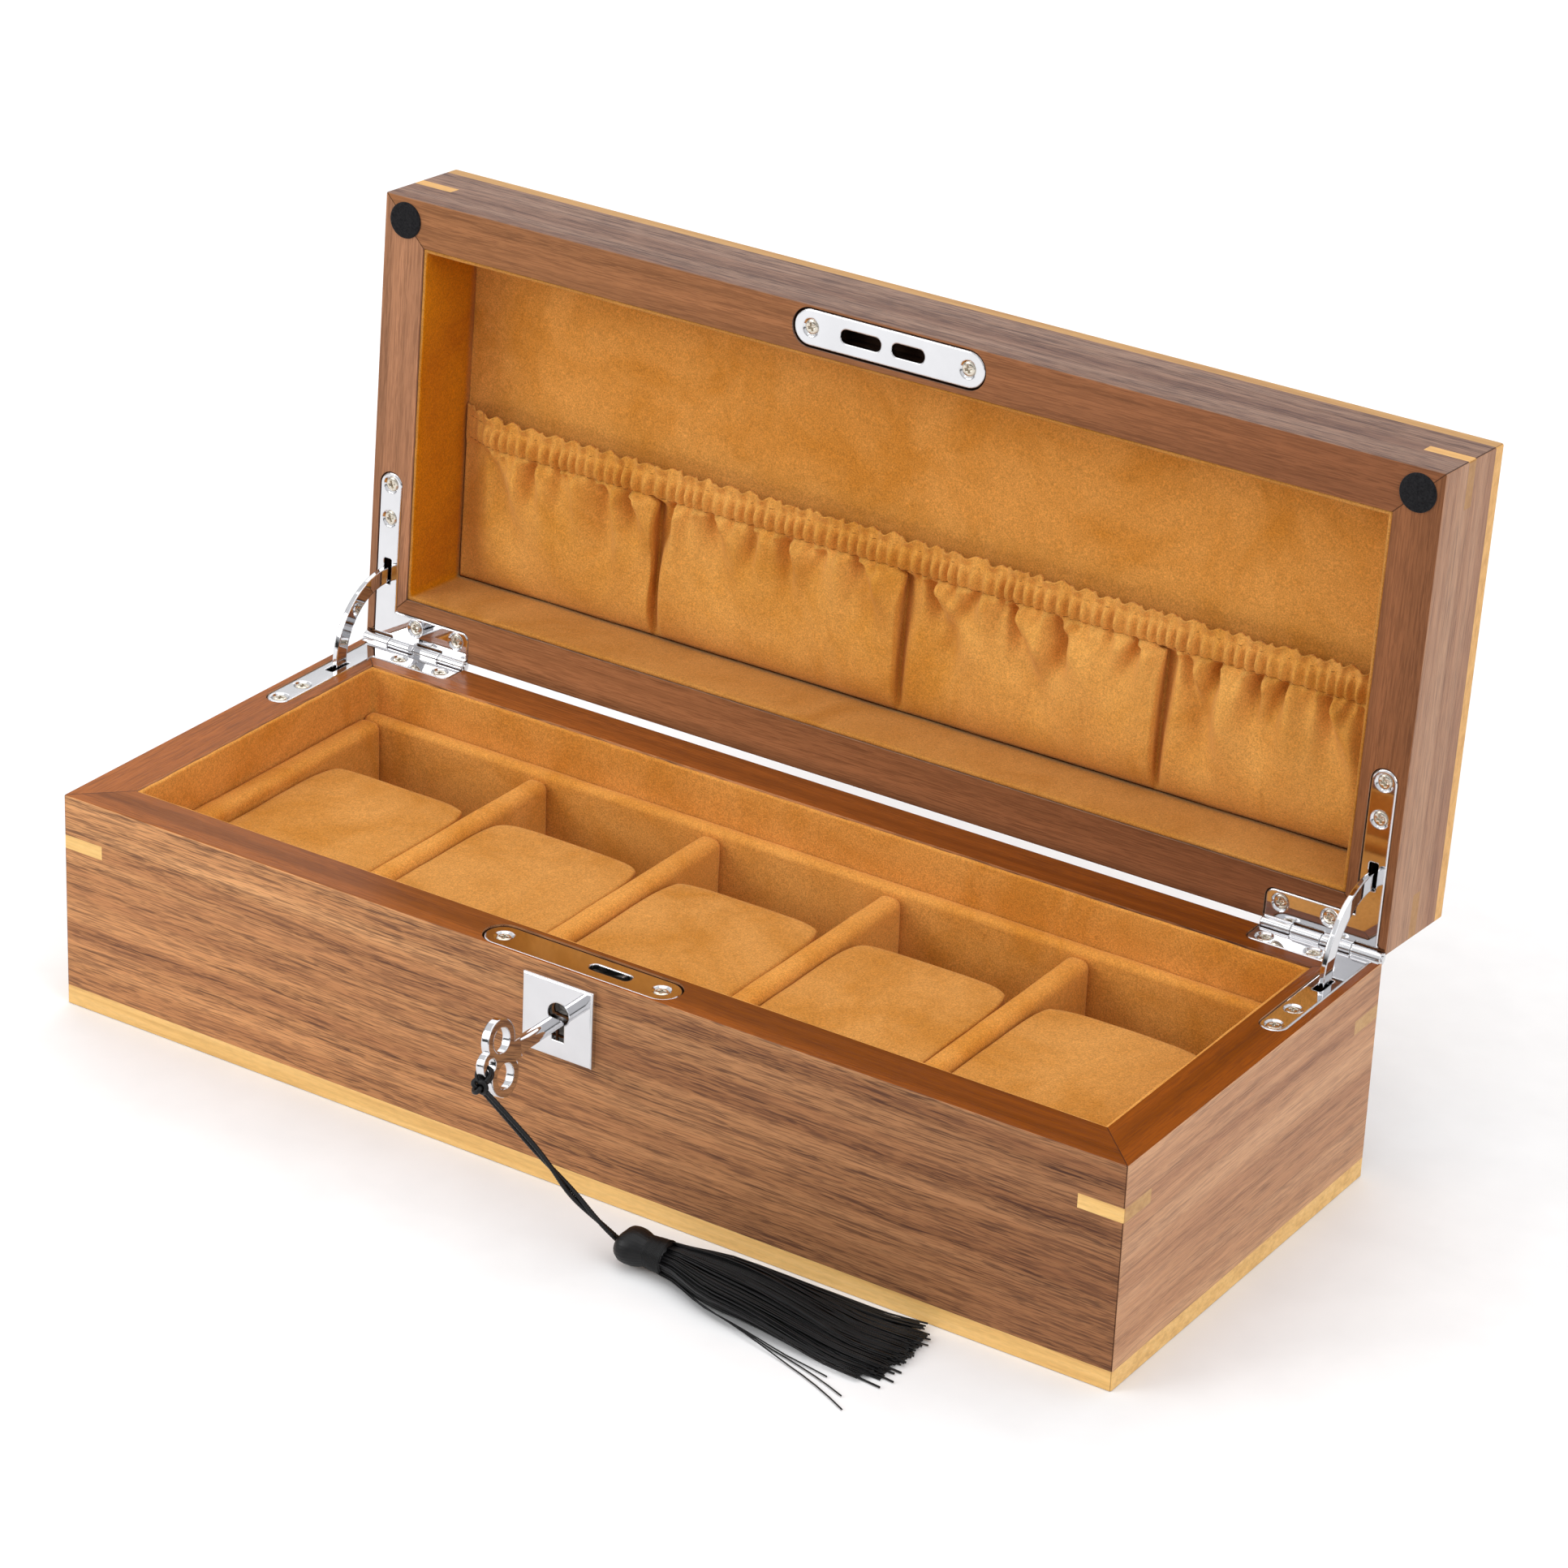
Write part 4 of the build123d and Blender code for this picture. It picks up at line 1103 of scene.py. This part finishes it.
def stick_bumpers(wool):
    """Two felt discs on the lid's front corners, with a rounded and slightly woolly face."""
    low, high = shut_box("lid_felt_bumpers")
    radius = (high.y - low.y) / 2
    rings = [(share, low.z + up * MM) for share, up in BUMPER_FACE]
    rings += [(share, high.z) for share in (1.0, 0.5, 0.0)]
    parts = []
    for side in (-1, 1):
        centre = Vector((side * (high.x - radius), (low.y + high.y) / 2, 0))
        points = []
        for share, z in rings:
            reach = max(share, 0.001) * radius
            for turn in circle(BUMPER_STEPS):
                place = centre + Vector((math.cos(turn) * reach, math.sin(turn) * reach, z))
                if z < high.z:
                    place.z -= 0.05 * MM * noise.noise(place * 900)
                points.append(place)
        parts.append((points, capped_faces(len(rings), BUMPER_STEPS)))
    lid_piece(build("lid_bumpers_felt", *join_parts(parts), wool, "felt"), "lid_felt_bumpers")


def glue_baize(cloth):
    low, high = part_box("base_baize")
    points, faces = rounded_box(low, high, 0.3 * MM, 5 * MM)
    piece = build("base_baize_cloth", points, faces, cloth, "baize")
    attach(piece, "base", "base_baize")


# ---- key cord and tassel

CORD_ROUTE = (
    (0.00147, -0.10108, 0.04332),
    (0.0153, -0.0972, 0.0296),
    (0.0255, -0.0918, 0.0145),
    (0.0333, -0.0870, 0.0056),
)
STRAND = 0.62 * MM
STRAND_SIDES = 12
KEY_EYE = Vector((0, -98.1, 49.3)) * MM
KNOT_STRAND = 0.66 * MM
KNOT_STEPS = 150
LOOP_STRAND = 0.5 * MM
LOOP_STEPS = 40


def cord_line():
    """Points along the smooth line of the cord's route."""
    curve = bpy.data.curves.new("route", "CURVE")
    curve.dimensions = "3D"
    curve.resolution_u = 24
    spline = curve.splines.new("NURBS")
    spline.points.add(len(CORD_ROUTE) - 1)
    for point, place in zip(spline.points, CORD_ROUTE):
        point.co = (*place, 1)
    spline.order_u = 3
    spline.use_endpoint_u = True
    holder = bpy.data.objects.new("route", curve)
    link(holder)
    graph = bpy.context.evaluated_depsgraph_get()
    mesh = bpy.data.meshes.new_from_object(holder.evaluated_get(graph), depsgraph=graph)
    line = [v.co.copy() for v in mesh.vertices]
    bpy.data.objects.remove(holder)
    bpy.data.meshes.remove(mesh)
    return line


def hang_cord(thread):
    """The key's doubled cord: two strands, a little apart below the knot and crossing lower down."""
    line = cord_line()
    parts = []
    for side in (-1, 1):
        strand = []
        for i, place in enumerate(line):
            share = i / (len(line) - 1)
            ahead = heading(line, i)
            level = ahead.cross(Vector((0, -1, 0))).normalized()
            other = ahead.cross(level)
            turn = math.pi * (0.1 + 1.25 * smooth_step((share - 0.25) / 0.75))
            apart = STRAND * (0.98 + 0.55 * math.exp(-((share - 0.22) / 0.16) ** 2))
            strand.append(place + (level * math.cos(turn) + other * math.sin(turn)) * apart * side)
        parts.append(braided(strand))
    cord = build("key_cord_silk", *join_parts(parts), thread, "black_silk")
    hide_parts("key_cord")
    return cord, line


def braided(line):
    """A thin braided strand: a tube whose surface has a fine diagonal rib."""
    dense = []
    for a, b in zip(line, line[1:]):
        dense += [a.lerp(b, k / 4) for k in range(4)]
    dense.append(line[-1])
    points, faces = tube(dense, STRAND, STRAND_SIDES)
    for n, point in enumerate(points):
        i, k = divmod(n, STRAND_SIDES)
        rib = math.sin(i * 1.35 + k * 2 * math.pi / STRAND_SIDES * 2) * 0.07
        points[n] = dense[i] + (point - dense[i]) * (1 + rib)
    return points, faces


def tie_knot(thread):
    """The cord's knot under the key's end eye, and the doubled loop through the eye."""
    down = Vector((0, -0.6, -0.8))
    aside = Vector((0, 0.8, -0.6))
    right = Vector((1, 0, 0))
    centre = KEY_EYE + down * 5.65 * MM
    line = []
    for i in range(KNOT_STEPS + 1):
        turn = 2 * math.pi * i / KNOT_STEPS
        reach = (1.25 + 0.55 * math.cos(3 * turn)) * MM
        line.append(
            centre
            + right * reach * math.cos(2 * turn) * 1.1
            + aside * 0.95 * MM * math.sin(3 * turn)
            + down * reach * math.sin(2 * turn) * 1.05
        )
    parts = [tube(line, KNOT_STRAND, 10)]
    for side in (-1, 1):
        loop = []
        for i in range(LOOP_STEPS + 1):
            turn = 2 * math.pi * i / LOOP_STEPS
            near = 0.5 + 0.5 * math.cos(turn)
            loop.append(
                KEY_EYE
                + down * (2.65 + 2.2 * math.cos(turn)) * MM
                + right * 2.2 * math.sin(turn) * (1 - 0.25 * near) * MM
                + aside * side * 0.52 * MM
            )
        parts.append(tube(loop, LOOP_STRAND, 10))
    knot = build("key_cord_knot_silk", *join_parts(parts), thread, "black_silk")
    attach(knot, "key", "key_cord_knot")
    return knot


# the head's and neck's outline in mm: distance from the cord's end, radius
HEAD_OUTLINE = (
    (0.0, 1.6), (0.35, 2.9), (1.2, 4.2), (2.6, 5.0), (4.2, 5.25), (5.8, 5.15), (7.4, 4.7),
    (8.8, 4.15), (9.8, 3.95), (12.0, 4.1), (15.1, 4.5),
)
HEAD_STEPS = 96
NECK_TURNS = 17
NECK_STEPS = 40


def head_and_neck(thread):
    """The tassel's head, folded over the cord with a dent, and its neck wound with thread."""
    low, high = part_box("tassel_head")
    middle_y = (low.y + high.y) / 2
    axis_z = (low.z + high.z) / 2
    points = []
    start = Vector((low.x + 0.2 * MM, middle_y, axis_z - 0.1 * MM))
    for along, radius in HEAD_OUTLINE:
        for turn in circle(HEAD_STEPS):
            thread_rib = 0.045 * math.sin(turn * 32)
            # two lobes above and below, with the dent where the cord goes in
            lobe = 1 - 0.10 * math.exp(-((along - 2.5) / 3) ** 2) * math.cos(2 * turn)
            dent = 1.9 * math.exp(-(along / 1.3) ** 2) * (1 - abs(math.sin(turn)) ** 1.2)
            reach = (radius + thread_rib) * lobe * MM
            off = Vector(((along + dent) * MM, math.sin(turn) * reach, math.cos(turn) * reach * 0.98))
            points.append(start + off)
    faces = capped_faces(len(HEAD_OUTLINE), HEAD_STEPS)
    head = build("tassel_head_silk", points, faces, thread, "black_silk")
    winding = []
    for i in range(NECK_TURNS * NECK_STEPS + 1):
        along = i / (NECK_TURNS * NECK_STEPS)
        turn = 2 * math.pi * i / NECK_STEPS
        radius = (4.12 + 0.4 * along + 0.1 * ripple(along * 9, 0, 2)) * MM
        x = start.x + (9.3 + 5.5 * along) * MM
        winding.append(Vector((x, middle_y + math.sin(turn) * radius, start.z + math.cos(turn) * radius)))
    neck = build("tassel_neck_thread", *tube(winding, 0.2 * MM, 6), thread, "black_silk")
    attach(head, "tassel", "tassel_head")
    attach(neck, "tassel")
    return head, neck


LOCKS = 46
STRANDS_IN_LOCK = 14
GOLDEN_TURN = 2.39996
SKIRT_LENGTH = 68 * MM
THREAD_STEPS = 13
NECK_RADIUS = 4.3 * MM
SKIRT_SPREAD = 10.3 * MM
# stray threads: two places in the bundle, length, sideways drift in mm, radius in mm
STRAYS = (
    (-0.86, -0.5, 1.02, -15.5, 0.30),
    (-0.80, -0.7, 0.97, -13.0, 0.30),
    (-0.9, -0.6, 0.86, -8.0, 0.28),
    (-0.7, -0.6, 1.05, -4.0, 0.40),
    (-0.5, -0.7, 1.07, -3.0, 0.40),
    (-0.2, -0.7, 1.06, -2.0, 0.40),
    (0.5, -0.6, 1.04, 2.0, 0.30),
    (0.8, -0.5, 0.98, 3.5, 0.28),
)


def skirt_line(a, b, reach, sway, start):
    """One thread of the skirt: a and b place it in the bundle, reach is its length, sway a little drift."""
    line = []
    for i in range(THREAD_STEPS + 1):
        t = reach * i / THREAD_STEPS
        x = start.x + SKIRT_LENGTH * t
        bow = 2.2 * MM * math.sin(math.pi * min(t, 1.0))
        spread = NECK_RADIUS + (SKIRT_SPREAD - NECK_RADIUS) * smooth_step(t / 0.3)
        spread += 4.4 * MM * max(0.0, t - 0.25) ** 1.1
        y = start.y + 1.9 * MM * t - bow * 0.2 + a * spread
        height = (4.3 + 1.2 * math.sin(math.pi * min(1, t * 1.25)) - 2.9 * smooth_step(t)) * MM
        fallen = smooth_step(t * 1.15)
        z = start.z * (1 - fallen) + height * fallen * 0.62 + b * height * (0.92 - 0.1 * t)
        drift = t * t
        y += sway[0] * drift + 0.35 * MM * math.sin(9 * t + sway[0] * 2400) * t
        z += sway[1] * drift
        line.append(Vector((x, y, max(z, 0.22 * MM))))
    return line


def comb_skirt(thread):
    """The tassel's skirt: locks of fine threads that fan out to a ragged cut end, and a few strays."""
    draw = random.Random(17)
    start = Vector((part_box("tassel_skirt")[0].x - 0.8 * MM, -86.4 * MM, 4.9 * MM))
    parts = []
    for lock in range(LOCKS):
        turn = lock * GOLDEN_TURN
        out = math.sqrt((lock + 0.5) / LOCKS) * 0.94
        lock_a, lock_b = math.cos(turn) * out, math.sin(turn) * out
        lock_reach = 1 - 0.02 * abs(lock_a) + draw.gauss(0, 0.016)
        lock_sway = (draw.gauss(0, 1.3) * MM, draw.gauss(0, 0.4) * MM)
        for _ in range(STRANDS_IN_LOCK):
            a = lock_a + draw.gauss(0, 0.075)
            b = lock_b + draw.gauss(0, 0.11)
            reach = lock_reach + draw.gauss(0, 0.012)
            sway = (lock_sway[0] + draw.gauss(0, 0.4) * MM, lock_sway[1] + draw.gauss(0, 0.2) * MM)
            line = skirt_line(a, b, reach, sway, start)
            parts.append(tube(line, draw.uniform(0.2, 0.28) * MM, 4))
    for a, b, reach, aside, radius in STRAYS:
        line = skirt_line(a, b, reach, (aside * MM, -1.5 * MM), start)
        parts.append(tube(line, radius * MM * 0.7, 5))
    attach(build("tassel_skirt_silk", *join_parts(parts), thread, "black_silk"), "tassel", "tassel_skirt")


def dress_key(thread):
    cord, line = hang_cord(thread)
    knot = tie_knot(thread)
    head, neck = head_and_neck(thread)
    comb_skirt(thread)
    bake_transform(cord)


# ---- the whole scene

look_through()
light_studio()
lay_floor()
paint_hard_parts()
gold = suede("suede_gold")
line_base(gold)
# painted shade: the lid's walls are darkened, and those facing right deepened to a darker orange
line_lid(gold, suede("suede_lid_walls", painted_light_tone=(0.75, 0.75, 0.78), rightward_painted_shade=(1.05, 0.78, 0.02)))
fit_tray(gold)
# painted shade: the cushions' cloth is darkened
stuff_cushions(suede("suede_cushions", painted_light_tone=(0.87, 0.89, 0.97)))
# painted light: the pocket's cloth is lightened against the shade of its folds
sew_pocket(
    suede("suede_pocket", painted_light_tone=(1.07, 1.18, 1.3)),
    suede("suede_thread", light=(0.30, 0.12, 0.03), dark=(0.2, 0.075, 0.015)),
)
stick_bumpers(felt("felt_black", (0.022, 0.022, 0.024), (0.005, 0.005, 0.006)))
glue_baize(felt("baize_brown", (0.12, 0.07, 0.035), (0.05, 0.028, 0.014)))
dress_key(silk("silk_black"))
